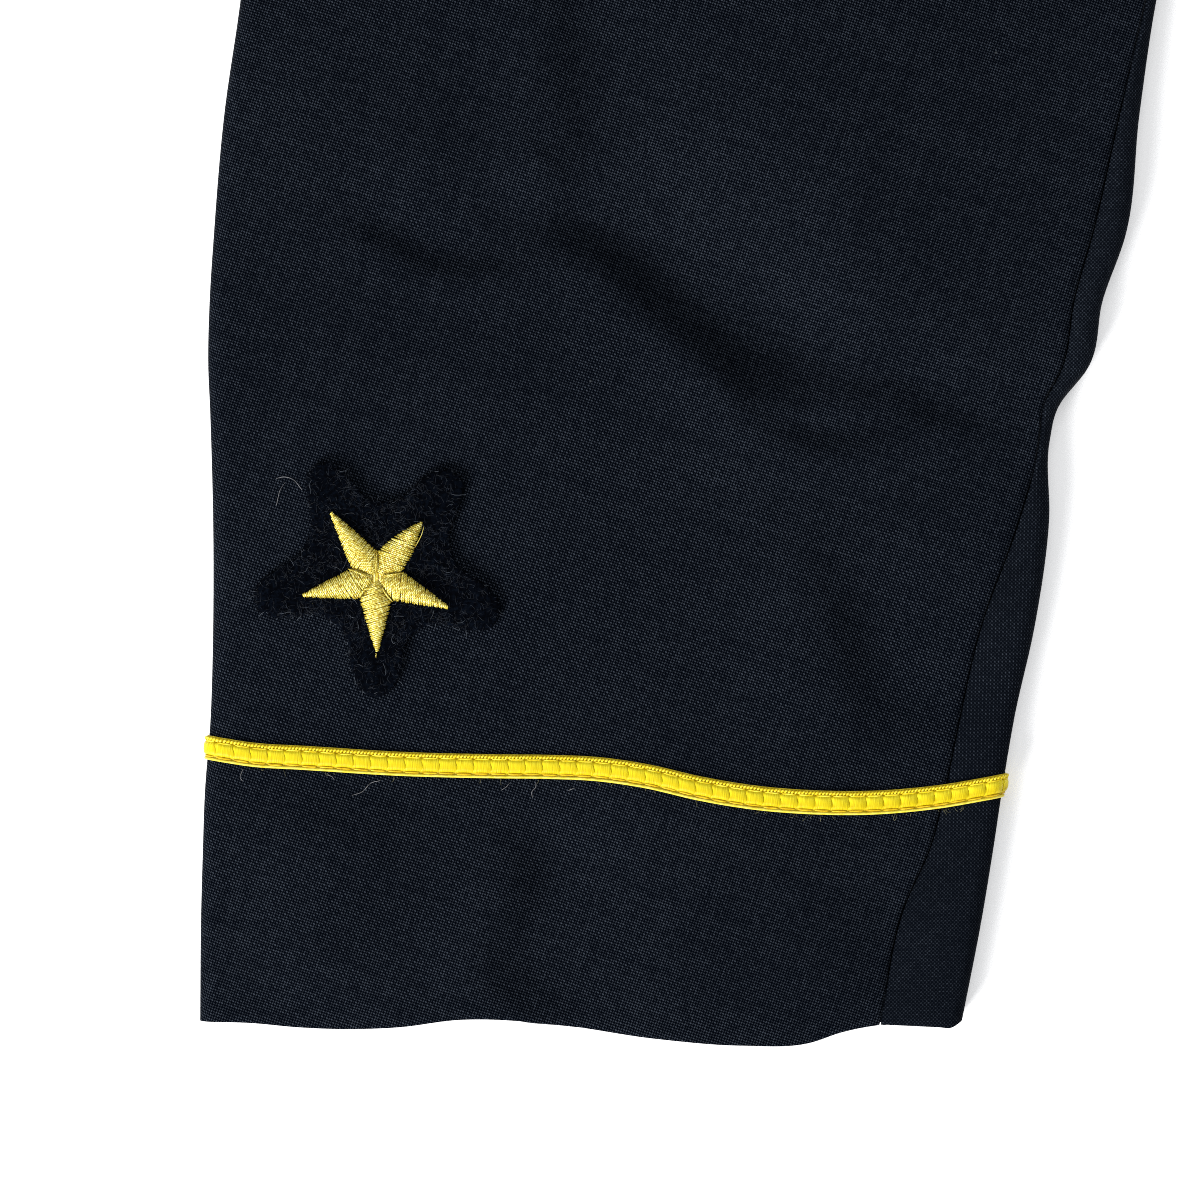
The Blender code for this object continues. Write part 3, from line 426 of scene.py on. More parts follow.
def makeWorsted(name, low=1.0, soft=0.0):
    # low is the share of its colour kept near the cuff beside higher up, a painted shade where the cloth
    # slopes away from the light, and soft is how far its weave is brushed out
    look = worstedLook
    plain = [0.3 * value for value in look["light"]]
    made, tree, shader = newMaterial(name, plain, 0.8, Specular_IOR_Level=0.0, Sheen_Weight=0.04,
                                     Sheen_Roughness=0.3)
    yarns = mapNamed(tree, "grain")
    broad = clouds(tree, placeOf(tree), 26.0, 2.0)
    rows = remap(tree, clouds(tree, placeOf(tree), 9.0, 1.0), 0.35, 0.65, -0.05, 0.35)
    cloth = useGroup(tree, plainWeave, Yarns=yarns, Along=look["along"], Across=look["across"],
                     Waver=look["waver"], Rows=rows)
    patchy = remap(tree, clouds(tree, placeOf(tree), 420.0, 2.0), 0.3, 0.7, 0.9, 1.1)
    tone = calc(tree, "MULTIPLY", calc(tree, "MULTIPLY", cloth["Tone"], patchy),
                remap(tree, broad, 0.3, 0.7, 0.88, 1.12))
    if soft > 0.0:
        tone = calc(tree, "MULTIPLY_ADD", tone, 1.0 - soft, 0.13 * soft)
    # painted shade: the cloth darkens towards the cuff, where it slopes away from the light
    if low < 1.0:
        height = partsOf(tree, placeOf(tree))[1]
        ends = (draftLine + look[end] * mm for end in ("paintedShadeFrom", "paintedShadeTo"))
        tone = calc(tree, "MULTIPLY", tone, remap(tree, height, *ends, low, 1.0))
    lint = useGroup(tree, specks, Place=placeOf(tree), Spacing=look["spacing"])["Mask"]
    colour = tint(tree, lint, tint(tree, tone, look["dark"], look["light"]), look["lint"])
    feed(tree, shader.inputs["Base Color"], colour)
    addBump(tree, shader, cloth["Height"], look["bump"], 0.6)
    return made


def makeLining():
    look = liningLook
    made, tree, shader = newMaterial("lining satin", (0.009, 0.01, 0.015), 0.42, Specular_IOR_Level=0.1)
    x, y = partsOf(tree, mapNamed(tree, "grain"))
    turn = calc(tree, "ADD", calc(tree, "DIVIDE", x, look["along"]), calc(tree, "DIVIDE", y, look["across"]))
    rib = calc(tree, "SINE", turn)
    broad = clouds(tree, placeOf(tree), 60.0, 3.0)
    tone = calc(tree, "MULTIPLY_ADD", rib, 0.2, remap(tree, broad, 0.3, 0.7, 0.2, 0.7))
    feed(tree, shader.inputs["Base Color"], tint(tree, tone, look["dark"], look["light"]))
    addBump(tree, shader, calc(tree, "ADD", rib, calc(tree, "MULTIPLY", broad, 6.0)), 0.03 * mm, 0.5)
    return made


def makeFelt():
    look = feltLook
    made, tree, shader = newMaterial("felt", look["light"], 0.95, Specular_IOR_Level=0.02)
    place = placeOf(tree)
    fine = clouds(tree, place, 1500.0, 3.0, 0.65)
    tufts = clouds(tree, place, 420.0, 3.0)
    tone = calc(tree, "MULTIPLY", remap(tree, fine, 0.42, 0.72), remap(tree, tufts, 0.3, 0.7, 0.35, 1.0))
    feed(tree, shader.inputs["Base Color"], tint(tree, tone, look["dark"], look["light"]))
    addBump(tree, shader, calc(tree, "ADD", fine, calc(tree, "MULTIPLY", tufts, 2.0)), 0.25 * mm, 0.8)
    return made


def makeFibre(name, dark, light):
    made, tree, shader = newMaterial(name, light, 0.6, Specular_IOR_Level=0.3)
    tone = remap(tree, clouds(tree, placeOf(tree), 900.0, 2.0), 0.35, 0.65)
    feed(tree, shader.inputs["Base Color"], tint(tree, tone, dark, light))
    return made


def threeTones(tree, shader, tone, tones):
    # the deep, middle and pale colour of a yellow thread, as tone goes from 0 to 1
    deep, middle, pale = tones
    lower = tint(tree, remap(tree, tone, 0.0, 0.5), deep, middle)
    feed(tree, shader.inputs["Base Color"], tint(tree, remap(tree, tone, 0.5, 1.0), lower, pale))


def makeGold():
    made, tree, shader = newMaterial("gold thread", goldTones[1], 0.33, Specular_IOR_Level=0.6, Metallic=0.2)
    pitch = 0.55 * mm
    ply = useGroup(tree, twist, Thread=mapNamed(tree, "thread"), Pitch=pitch, Patches=1 / pitch)
    # painted glints and shade: bright patches along each thread and the ply's crests stand for glints, its
    # grooves are darkened
    tone = remap(tree, ply["Tone"], 0.34, 0.64, 0.1, 1.0)
    crest = calc(tree, "POWER", ply["Groove"], 1.4)
    tone = calc(tree, "MULTIPLY", tone, calc(tree, "MULTIPLY_ADD", crest, 0.95, 0.25))
    # painted shade: the threads darken towards their ends, where they dive into the felt
    tone = calc(tree, "MULTIPLY", tone, calc(tree, "MULTIPLY_ADD", shadeOf(tree), -0.6, 1.05))
    threeTones(tree, shader, tone, goldTones)
    addBump(tree, shader, ply["Groove"], 0.05 * mm, 0.8)
    return made


def makeSatin(name, tones, acrossScale, alongScale, low, high, shaded=False):
    # yellow rayon whose fine threads run across the braid; a shaded one darkens by the painted shade that its
    # attribute holds
    made, tree, shader = newMaterial(name, tones[1], 0.42, Specular_IOR_Level=0.12)
    x, y = partsOf(tree, mapNamed(tree, "thread"))
    stretched = vectorOf(tree, calc(tree, "MULTIPLY", x, alongScale), calc(tree, "MULTIPLY", y, acrossScale))
    streaks = clouds(tree, stretched, 1.0, 3.0, 0.6)
    tone = remap(tree, streaks, 0.3, 0.7, low, high)
    if shaded:
        tone = calc(tree, "MULTIPLY", tone, calc(tree, "SUBTRACT", 1.0, shadeOf(tree)))
    threeTones(tree, shader, tone, tones)
    addBump(tree, shader, streaks, 0.12 * mm, 0.7)
    return made


def makeGilt():
    made, tree, shader = newMaterial("gilt", (0.86, 0.60, 0.22), 0.24, Metallic=1.0)
    dull = clouds(tree, placeOf(tree), 300.0, 4.0, 0.6)
    colour = tint(tree, remap(tree, dull, 0.35, 0.75), (0.90, 0.64, 0.25), (0.62, 0.40, 0.13))
    feed(tree, shader.inputs["Base Color"], colour)
    feed(tree, shader.inputs["Roughness"], remap(tree, dull, 0.3, 0.8, 0.18, 0.42))
    addBump(tree, shader, clouds(tree, placeOf(tree), 2200.0, 2.0), 0.01 * mm, 0.4)
    return made


worsted = makeWorsted("worsted")
# the undersleeve's cloth, with painted shade towards the cuff
worstedUnder = makeWorsted("worsted, painted shade near the cuff", 0.75, 0.4)
lining = makeLining()
felt = makeFelt()
nap = makeFibre("felt nap", (0.0018, 0.003, 0.0062), (0.009, 0.0142, 0.0245))
strayHair = makeFibre("stray hairs", (0.03, 0.036, 0.045), (0.13, 0.15, 0.18))
lintGrey = makeFibre("lint", (0.07, 0.07, 0.075), (0.22, 0.22, 0.23))
lintYellow = makeFibre("yellow lint", (0.05, 0.05, 0.025), (0.16, 0.15, 0.08))
gold = makeGold()
satin = makeSatin("braid satin", ((0.25, 0.14, 0.001), (0.59, 0.465, 0.005), (0.82, 0.73, 0.03)),
                  120.0, 5200.0, 0.25, 1.05, shaded=True)
amberStitch = makeSatin("braid stitches", ((0.22, 0.11, 0.001), (0.52, 0.32, 0.004), (0.70, 0.50, 0.03)),
                        3000.0, 700.0, 0.2, 0.95)
beadYellow = makeSatin("braid beads", ((0.40, 0.26, 0.002), (0.68, 0.52, 0.01), (0.90, 0.80, 0.10)),
                       2500.0, 2500.0, 0.2, 1.0)
paleStitch = makeSatin("braid pale stitches", ((0.42, 0.26, 0.004), (0.64, 0.48, 0.008), (0.82, 0.70, 0.08)),
                       3000.0, 700.0, 0.2, 1.0)
cordYellow = makeSatin("braid cord", ((0.32, 0.22, 0.004), (0.58, 0.47, 0.03), (0.74, 0.65, 0.12)),
                       2500.0, 900.0, 0.3, 1.0)
oliveEdge = makeSatin("braid edge", ((0.20, 0.13, 0.002), (0.45, 0.34, 0.01), (0.70, 0.58, 0.05)),
                      2500.0, 900.0, 0.2, 1.0)
gilt = makeGilt()


# Cloth


def outerSide(name, node):
    # the outer side of a solid's wall, as a sheet of quads
    piece = addObject(name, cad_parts[node].data.copy())
    piece.data.materials.clear()
    editAll(piece)
    bpy.ops.mesh.customdata_custom_splitnormals_clear()
    bpy.ops.mesh.remove_doubles(threshold=0.01 * mm)
    bpy.ops.mesh.tris_convert_to_quads(face_threshold=math.radians(50), shape_threshold=math.radians(80))
    bpy.ops.mesh.mark_sharp(clear=True)
    bpy.ops.mesh.select_all(action="DESELECT")
    bpy.ops.mesh.select_mode(type="FACE")
    stopEditing()
    faces = piece.data.polygons
    highest = max(faces, key=lambda face: face.center.z if face.normal.z > 0.7 else -1.0)
    highest.select = True
    bpy.ops.object.mode_set(mode="EDIT")
    bpy.ops.mesh.faces_select_linked_flat(sharpness=math.radians(62))
    bpy.ops.mesh.select_all(action="INVERT")
    bpy.ops.mesh.delete(type="FACE")
    stopEditing()
    return piece


def addSmooth(piece, levels):
    smooth = piece.modifiers.new("smooth", "SUBSURF")
    smooth.levels = smooth.render_levels = levels
    smooth.boundary_smooth = "PRESERVE_CORNERS"
    return smooth


def holdForm(piece, passes=4, furthest=1.2 * mm):
    # moves the sheet's points out until its smoothed surface runs through the solid's own
    target = pointsOf(piece)
    cage = target.copy()
    smooth = addSmooth(piece, 1)
    for _ in range(passes):
        setPoints(piece, cage)
        shown = piece.evaluated_get(bpy.context.evaluated_depsgraph_get())
        flat = np.empty(len(shown.data.vertices) * 3)
        shown.data.vertices.foreach_get("co", flat)
        cage += target - flat.reshape(-1, 3)[: len(target)]
        cage = target + np.clip(cage - target, -furthest, furthest)
    setPoints(piece, cage)
    piece.modifiers.remove(smooth)


def layGrain(piece, grain):
    # unwraps the sheet and lays the map over the cloth in metres, with a yarn along each of its axes
    mesh = piece.data
    newMap(piece, "grain")
    editAll(piece)
    bpy.ops.uv.unwrap(method="ANGLE_BASED", margin=0.0)
    stopEditing()
    corner = cornersOf(piece)
    flat = np.empty(len(corner) * 2)
    mesh.uv_layers[0].data.foreach_get("uv", flat)
    laid = flat[0::2] + 1j * flat[1::2]
    where = pointsOf(piece)[corner]
    plan = where[:, 0] + 1j * where[:, 1]
    level = normalsOf(piece)[corner, 2] > 0.6
    middle, planMiddle = laid[level].mean(), plan[level].mean()
    turn = (np.conj(laid[level] - middle) * (plan[level] - planMiddle)).sum()
    loops = [laid[face.loop_start:face.loop_start + face.loop_total] for face in mesh.polygons]
    mapArea = sum(abs((np.conj(loop) * np.roll(loop, -1)).imag.sum()) / 2 for loop in loops)
    turn *= math.sqrt(sum(face.area for face in mesh.polygons) / mapArea) / abs(turn)
    laid = ((laid - middle) * turn + planMiddle) * np.exp(-1j * math.radians(grain))
    fillMap(piece, laid.real, laid.imag)


def foldDrop(where, side, folds):
    # how far the folds lower the cloth at places seen from above. A fold is a line, its reach to the left and
    # to the right as seen going along it on the wearer's left half, and a depth, negative for a ridge
    drop = np.zeros(len(where))
    every = np.arange(len(where))
    stops = 60
    for spots, left, right, depth in folds:
        line = draft(side, curveThrough(spots, stops))
        away = where[:, None, :2] - line[None, :, :]
        distance = np.linalg.norm(away, axis=2)
        nearest = distance.argmin(axis=1)
        way = np.gradient(line, axis=0)[nearest]
        beside = way[:, 0] * away[every, nearest, 1] - way[:, 1] * away[every, nearest, 0]
        reach = np.where(beside * sides[side] > 0, left, right) * mm
        along = nearest / (stops - 1)
        ends = ramp(-0.08, 0.28, along) * ramp(-0.08, 0.28, 1 - along)
        near = distance[every, nearest] / reach
        drop += depth * mm * ends * (np.exp(-(near**2)) - 0.2 * np.exp(-((near - 2.0) ** 2)))
    return drop


looseHeights = (0.25, 0.06)  # of its broad and its fine unevenness, in millimetres


def looseness(where, seed, broad, fine):
    # the slight unevenness of cloth that lies loose
    lift = np.zeros(len(where))
    for size, depth in ((26 * mm, broad), (9 * mm, fine)):
        shift = Vector((seed * 3.1, seed * 1.7, size))
        lift += np.array([noise.noise(Vector(spot) / size + shift) for spot in where.tolist()]) * depth * mm
    return lift


def foldCloth(piece, look):
    where = pointsOf(piece)
    level = ramp(0.3, 1.0, normalsOf(piece)[:, 2])
    drop = foldDrop(where, look.get("side", "left"), look.get("folds", []))
    where[:, 2] += (looseness(where, look["seed"], *look.get("loose", looseHeights)) - drop) * level
    setPoints(piece, where)


def finishSheet(piece, node, look):
    wall = piece.modifiers.new("wall", "SOLIDIFY")
    wall.thickness = look["wall"] * mm
    wall.offset = -1.0
    edge = piece.modifiers.new("edge", "BEVEL")
    edge.width = look.get("edge", 0.25) * mm
    edge.segments = 2
    edge.limit_method = "ANGLE"
    edge.angle_limit = math.radians(60)
    applyAll(piece)
    piece.data.materials.append(look.get("material", worsted))
    pick(piece)
    bpy.ops.object.shade_smooth_by_angle(angle=math.radians(50))
    finishPiece(piece, node)
    return piece


def closeNeck(piece, reach):
    # carries the neck's edge under the collar's stand, so that no gap shows along that seam
    where = pointsOf(piece)
    high = where[:, 1].max()
    near = ramp(78 * mm, 62 * mm, np.abs(where[:, 0])) * ramp(high - 40 * mm, high - 12 * mm, where[:, 1])
    where[:, 1] += near * reach * mm
    setPoints(piece, where)


def dressCloth(node, look):
    piece = outerSide(node + "_cloth", node)
    layGrain(piece, look.get("grain", 0.0))
    if not look.get("flat"):
        holdForm(piece)
    smooth = addSmooth(piece, look["levels"])
    smooth.uv_smooth = "NONE"
    if look.get("flat"):
        smooth.subdivision_type = "SIMPLE"
    applyAll(piece)
    foldCloth(piece, look)
    if look.get("neckReach"):
        closeNeck(piece, look["neckReach"])
    return finishSheet(piece, node, look)


print("body")
dressCloth("back", dict(
    cut=(514, 497, 205000), levels=3, flat=True, wall=1.2, seed=1, loose=(0.0, 0.0), neckReach=3.5,
))
dressCloth("back_lining", dict(
    cut=(434, 471, 160000), levels=3, flat=True, wall=0.8, seed=2, loose=(0.0, 0.12), restsOn=["back"],
    material=lining, slot="lining", neckReach=2.4,
))
frontFolds = [
    ([(150, -2), (146, 60), (138, 120), (128, 176)], 1.6, 1.6, 0.6),  # the dart's seam
    ([(236, 70), (200, 92), (168, 88)], 9, 13, 1.4),
    ([(244, 132), (206, 150), (186, 146)], 8, 12, 1.2),
    ([(250, 204), (222, 236), (196, 292)], 9, 14, 1.5),
    ([(228, 300), (206, 330), (186, 372)], 10, 14, 1.2),
    ([(28, 40), (60, 58), (104, 52)], 10, 12, 1),
    ([(34, 92), (70, 118), (118, 124)], 8, 12, 1.2),
]
for side, sign in sides.items():
    dressCloth(f"front_{side}", dict(
        cut=(250, 487, 85000), levels=3, wall=1.2, seed=3 + sign, side=side, folds=frontFolds,
        restsOn=["back"],
    ))
    dressCloth(f"lapel_{side}", dict(
        cut=(103, 308, 17000), levels=3, wall=1.2, seed=7 + sign, side=side, held="folded",
        restsOn=[f"front_{side}"], grain=-12.0 * sign, loose=(0.15, 0.05),
    ))
dressCloth("collar", dict(
    cut=(390, 130, 21000), levels=2, wall=1.2, seed=11, held="folded", restsOn=["front_left", "front_right"],
    loose=(0.15, 0.05),
))


# Sleeves: flattened tubes, worked out from rows like those of their solids

print("sleeves")
sleeve = dict(
    hindarmInset=40.0, crownPower=3.0, hemFade=32.0, seamHalf=0.09, seamLip=0.55, seamSunk=0.5, wall=1.3,
    underBraid=1.2, liftFlat=8.0, liftEnd=22.0,  # the underside's recess for the braid
    fineEnd=182, head=600, headReach=1.0,  # the rows are close as far as fineEnd, and end at the sleeve head
    cuffY=-203.0, seed=20,
)
# the height up the sleeve, the ends of the row across it, its bow, the sleeve's height at its edges and in
# its middle, and how far the forearm seam stands in from the inner edge
stationColumns = "up outerX outerY innerX innerY bow edge crown fore".split()
stations = np.array([
    (0.0, 490.9, -203.0, 356.0, -203.0, 0.0, 6.2, 7.4, 14.7),
    (20.0, 490.7, -183.0, 352.1, -183.0, 0.0, 6.2, 7.5, 14.3),
    (30.0, 490.4, -173.0, 350.5, -173.0, 0.0, 6.2, 7.55, 11.4),
    (40.0, 490.0, -163.0, 349.0, -163.0, 0.0, 6.2, 7.6, 10.3),
    (53.0, 489.0, -150.0, 346.8, -150.0, 0.0, 6.2, 7.6, 9.8),
    (69.0, 488.6, -134.0, 343.2, -134.0, 0.0, 6.2, 7.6, 9.7),
    (88.0, 488.6, -115.0, 340.6, -115.0, 0.0, 6.2, 7.6, 5.5),
    (102.0, 488.95, -101.0, 340.5, -101.0, 0.0, 6.2, 7.6, 1.9),
    (108.0, 489.15, -95.0, 339.0, -95.0, 0.0, 6.3, 7.7, 2.8),
    (115.0, 489.45, -88.0, 333.7, -88.0, 0.0, 6.4, 7.8, 4.8),
    (127.0, 489.2, -76.0, 331.1, -76.0, 0.0, 6.4, 7.8, 5.3),
    (138.0, 488.5, -65.0, 327.2, -65.0, 0.0, 6.4, 7.8, 6.1),
    (160.0, 486.6, -43.0, 324.6, -43.0, 0.0, 6.4, 7.8, 3.7),
    (179.6, 483.8, -23.4, 321.7, -23.4, 0.0, 6.4, 7.8, 1.9),
    (232.0, 479.0, 32.0, 307.0, 27.0, 0.0, 6.4, 7.8, 6.0),
    (295.0, 469.5, 96.0, 291.0, 88.0, 0.0, 6.4, 7.8, 9.0),
    (358.0, 456.5, 161.0, 274.5, 149.0, 0.0, 6.4, 8.0, 12.0),
    (412.0, 440.5, 220.0, 263.0, 192.0, 2.0, 6.4, 8.0, 15.0),
    (455.0, 421.5, 270.0, 258.6, 206.0, 5.0, 6.4, 8.0, 18.0),
    (495.0, 389.0, 319.0, 257.8, 210.0, 10.0, 6.3, 8.0, 21.0),
    (530.0, 345.0, 358.0, 257.4, 212.4, 17.0, 6.1, 7.8, 24.0),
    (560.0, 298.0, 383.5, 257.2, 213.8, 25.0, 5.9, 7.2, 26.0),
    (583.0, 254.0, 396.5, 257.1, 214.6, 32.0, 5.6, 6.4, 28.0),
    (600.0, 225.0, 400.0, 257.0, 215.0, 36.0, 5.3, 5.6, 30.0),
])
# across the sleeve from its outer edge, 0, to its inner one, 1: how far the hem waves down, and the height
# of the braid
hemWave = np.array([(0, 0.5), (0.07, 0.7), (0.13, 1.4), (0.19, 1.7), (0.26, 1.4), (0.34, 0.1), (0.46, 0.8),
                    (0.6, 3.4), (0.71, 4.6), (0.8, 4.1), (0.84, 2.3), (0.88, 1.2), (0.95, 0.8), (0.985, 1.5),
                    (1, 0.4)])
braidLine = np.array([(0, 47.9), (0.06, 46.6), (0.12, 46.1), (0.25, 45), (0.37, 44.6), (0.43, 44.5),
                      (0.49, 44.1), (0.55, 42.9), (0.62, 40.7), (0.69, 39.1), (0.76, 38.3), (0.84, 38.2),
                      (0.92, 39.2), (1, 41.2)])
sleeveFolds = {
    "right": [  # the folds of the photo, and then six above it
        # the main fold: its crest, and the cloth that drops away to the upper right
        ([(432, -62.2), (424.3, -66.6), (418.6, -71.4), (411.2, -78.6), (402.2, -86.0),
          (397.2, -92.5), (395.1, -100.5)], 5, 2.8, -1),
        ([(421.8, -58.7), (413.9, -66.5), (406.4, -73.2), (397.6, -80.2), (389.8, -85.6),
          (382.5, -88.4), (375.5, -89.6)], 6.5, 19, 3.3),
        # its branches towards the forearm seam
        ([(395.5, -84.2), (386.7, -84), (378.7, -86.5), (374, -89.3), (367.3, -88.9),
          (358.5, -91)], 3.5, 9, 1.2),
        ([(395.1, -100.5), (384.9, -102.1), (376.1, -102.6), (367.3, -99.8), (362, -98.1),
          (351.4, -100.9)], 4, 3, -0.9),
        ([(390.2, -98.2), (379.6, -99.1), (370.8, -97.4), (362, -94.7), (352.3, -97.4)], 4, 6, 1.3),
        ([(391.9, -94.7), (376.1, -96), (362, -93.8)], 3, 3, -0.7),
        # the crease that runs in from the outer edge
        ([(466.8, -59.9), (457.1, -63.6), (450.9, -67.4), (443, -68.1), (435.1, -67.4),
          (428.5, -68.2)], 3.5, 7, 1.3),
        ([(465.9, -63.6), (456.2, -67.8), (450, -71.3), (441.2, -71.7), (434.2, -70.6)], 3, 3, -0.6),
        ([(443, -58.6), (434.2, -61.1), (426.3, -62.9), (420.1, -65)], 4, 6, 1.3),
        # soft ones down the sleeve and under the braid
        ([(430.7, -19.9), (428.6, -37.5), (428, -50)], 8, 6, -0.9),
        ([(424, -12), (421.4, -34), (420.4, -50), (420.6, -62), (418.6, -72)], 6.5, 14, 1.6),
        ([(387.5, -118.5), (382.3, -129.1), (379.3, -139.6), (377, -152.8)], 10, 5, -1.1),
        ([(376.1, -122), (370.8, -132.6), (367.6, -143.1), (366.4, -154.6)], 9, 14, 1.7),
        ([(441.2, -167.8), (437.7, -174.8), (439.5, -185.4), (448.3, -199.5)], 9, 5, -0.9),
        ([(429.3, -166.9), (427.1, -176.6), (429.8, -187.2), (437.7, -200.4)], 7, 13, 2.5),
        ([(371.7, -173.1), (369, -187.2), (368.2, -201.2)], 8, 8, 0.9),
        ([(465.9, -162.5), (467.6, -181.9), (472.9, -201.2)], 14, 12, -1.3),
        ([(312, 40), (350, 58), (398, 52), (430, 66)], 7, 7, 1.7),
        ([(300, 84), (338, 92), (382, 82)], 7, 7, 1.9),
        ([(288, 122), (330, 138), (372, 130)], 8, 8, 1.6),
        ([(452, 60), (436, 128), (404, 196)], 12, 12, 1.2),
        ([(322, 352), (346, 292), (354, 220)], 13, 13, 1.4),
        ([(276, 352), (300, 290), (304, 232)], 11, 11, 1),
    ],
    "left": [
        ([(448, -70), (424, -84), (398, -86), (366, -72)], 6, 6, 1.9),
        ([(470, -40), (442, -30), (404, -44)], 6, 6, 1.2),
        ([(352, -128), (378, -140), (410, -136)], 7, 7, 1.1),
        ([(430, -166), (440, -184), (432, -200)], 7, 7, 0.9),
        ([(316, 20), (356, 44), (402, 40), (440, 26)], 8, 8, 1.8),
        ([(300, 76), (342, 88), (388, 74)], 8, 8, 1.9),
        ([(286, 126), (326, 130), (360, 146)], 8, 8, 1.5),
        ([(456, 70), (428, 120), (410, 190)], 12, 12, 1.2),
        ([(316, 354), (338, 300), (344, 226)], 13, 13, 1.4),
        ([(270, 350), (290, 296), (298, 240)], 11, 11, 1),
    ],
}


def stationAt(up):
    # the sleeve's measures at rows that many millimetres up from the cuff, a column of them for each row
    values = glide(stations[:, 0], stations, np.asarray(up, float).ravel())
    row = {name: values[:, k, None] for k, name in enumerate(stationColumns)}
    row["width"] = np.hypot(row["innerX"] - row["outerX"], row["innerY"] - row["outerY"])
    row["radius"] = row["edge"] / 2
    return row


def lineAt(table, across):
    return glide(table[:, 0], table[:, 1:], across.ravel())[:, 0].reshape(across.shape)


def braidHeight(across, onTop=True):
    if onTop:
        return lineAt(braidLine, across)
    return braidLine[0, 1] + (braidLine[-1, 1] - braidLine[0, 1]) * across


def sleevePoints(up, turn, out=0.0):
    # places on a sleeve in draft millimetres. A turn goes round its section: 0 to 1 up the inner edge, 1 to 2
    # over the top, 2 to 3 round the outer edge, 3 to 4 underneath, 4 to 5 back up
    up = np.asarray(up, float).reshape(-1, 1)
    turn = np.asarray(turn, float) % 5.0
    row = stationAt(up)
    share = row["radius"] / row["width"]

    def under(across):
        away = np.abs(up - braidHeight(across, onTop=False))
        return sleeve["underBraid"] * (1 - ramp(sleeve["liftFlat"], sleeve["liftEnd"], away))

    def over(across):
        arch = 1 - np.abs(2 * across - 1) ** sleeve["crownPower"]
        return row["edge"] + (row["crown"] - row["edge"]) * arch

    isTop, isUnder = (turn >= 1) & (turn <= 2), (turn >= 3) & (turn <= 4)
    inner = (turn < 1) | (turn > 4)
    angle = np.where(turn < 1, turn, turn - 5) * math.pi / 2
    angle = np.where(inner, angle, math.pi / 2 - (turn - 2) * math.pi)
    flat = np.where(inner, 1 - share, share)
    reach = (row["radius"] + out) * np.cos(angle) / row["width"]
    across = np.where(inner, flat + reach, flat - reach)
    low, high = under(flat), over(flat)
    z = (low + high) / 2 + ((high - low) / 2 + out) * np.sin(angle)
    across = np.where(isTop, 1 - share - (turn - 1) * (1 - 2 * share), across)
    z = np.where(isTop, over(across) + out, z)
    across = np.where(isUnder, share + (turn - 3) * (1 - 2 * share), across)
    z = np.where(isUnder, under(across) - out, z)
    bend = row["bow"] * 4 * across * (1 - across) / row["width"]
    chordX, chordY = row["innerX"] - row["outerX"], row["innerY"] - row["outerY"]
    x = row["outerX"] + chordX * across + chordY * bend
    y = row["outerY"] + chordY * across - chordX * bend
    y = y - lineAt(hemWave, across) * (1 - ramp(0.0, sleeve["hemFade"], up))
    return np.stack([x, y, z], axis=-1)


def foreTurn(up, shift):
    # the turn of the forearm seam at each row, moved over the top by shift
    row = stationAt(up)
    inset = np.maximum(row["fore"] + shift, 0.02)
    onEdge = np.arccos(1 - np.minimum(inset / row["radius"], 1.0)) / (math.pi / 2)
    onTop = 1 + (inset - row["radius"]) / (row["width"] - 2 * row["radius"])
    return np.where(inset < row["radius"], onEdge, onTop)


def hindTurn(up, shift):
    # the turn of the hindarm seam on the underside, moved inwards by shift
    row = stationAt(up)
    share = np.minimum(sleeve["hindarmInset"] / row["width"], 0.3)
    return 3 + (share * row["width"] + shift - row["radius"]) / (row["width"] - 2 * row["radius"])


def stretches(*stops):
    # columns of turns: each stop is a column of places and how many steps lead to it from the one before
    columns = [stops[0][0]]
    for (start, _), (end, count) in zip(stops, stops[1:]):
        columns += [start + (end - start) * k / count for k in range(1, count + 1)]
    return np.concatenate(columns, axis=1)


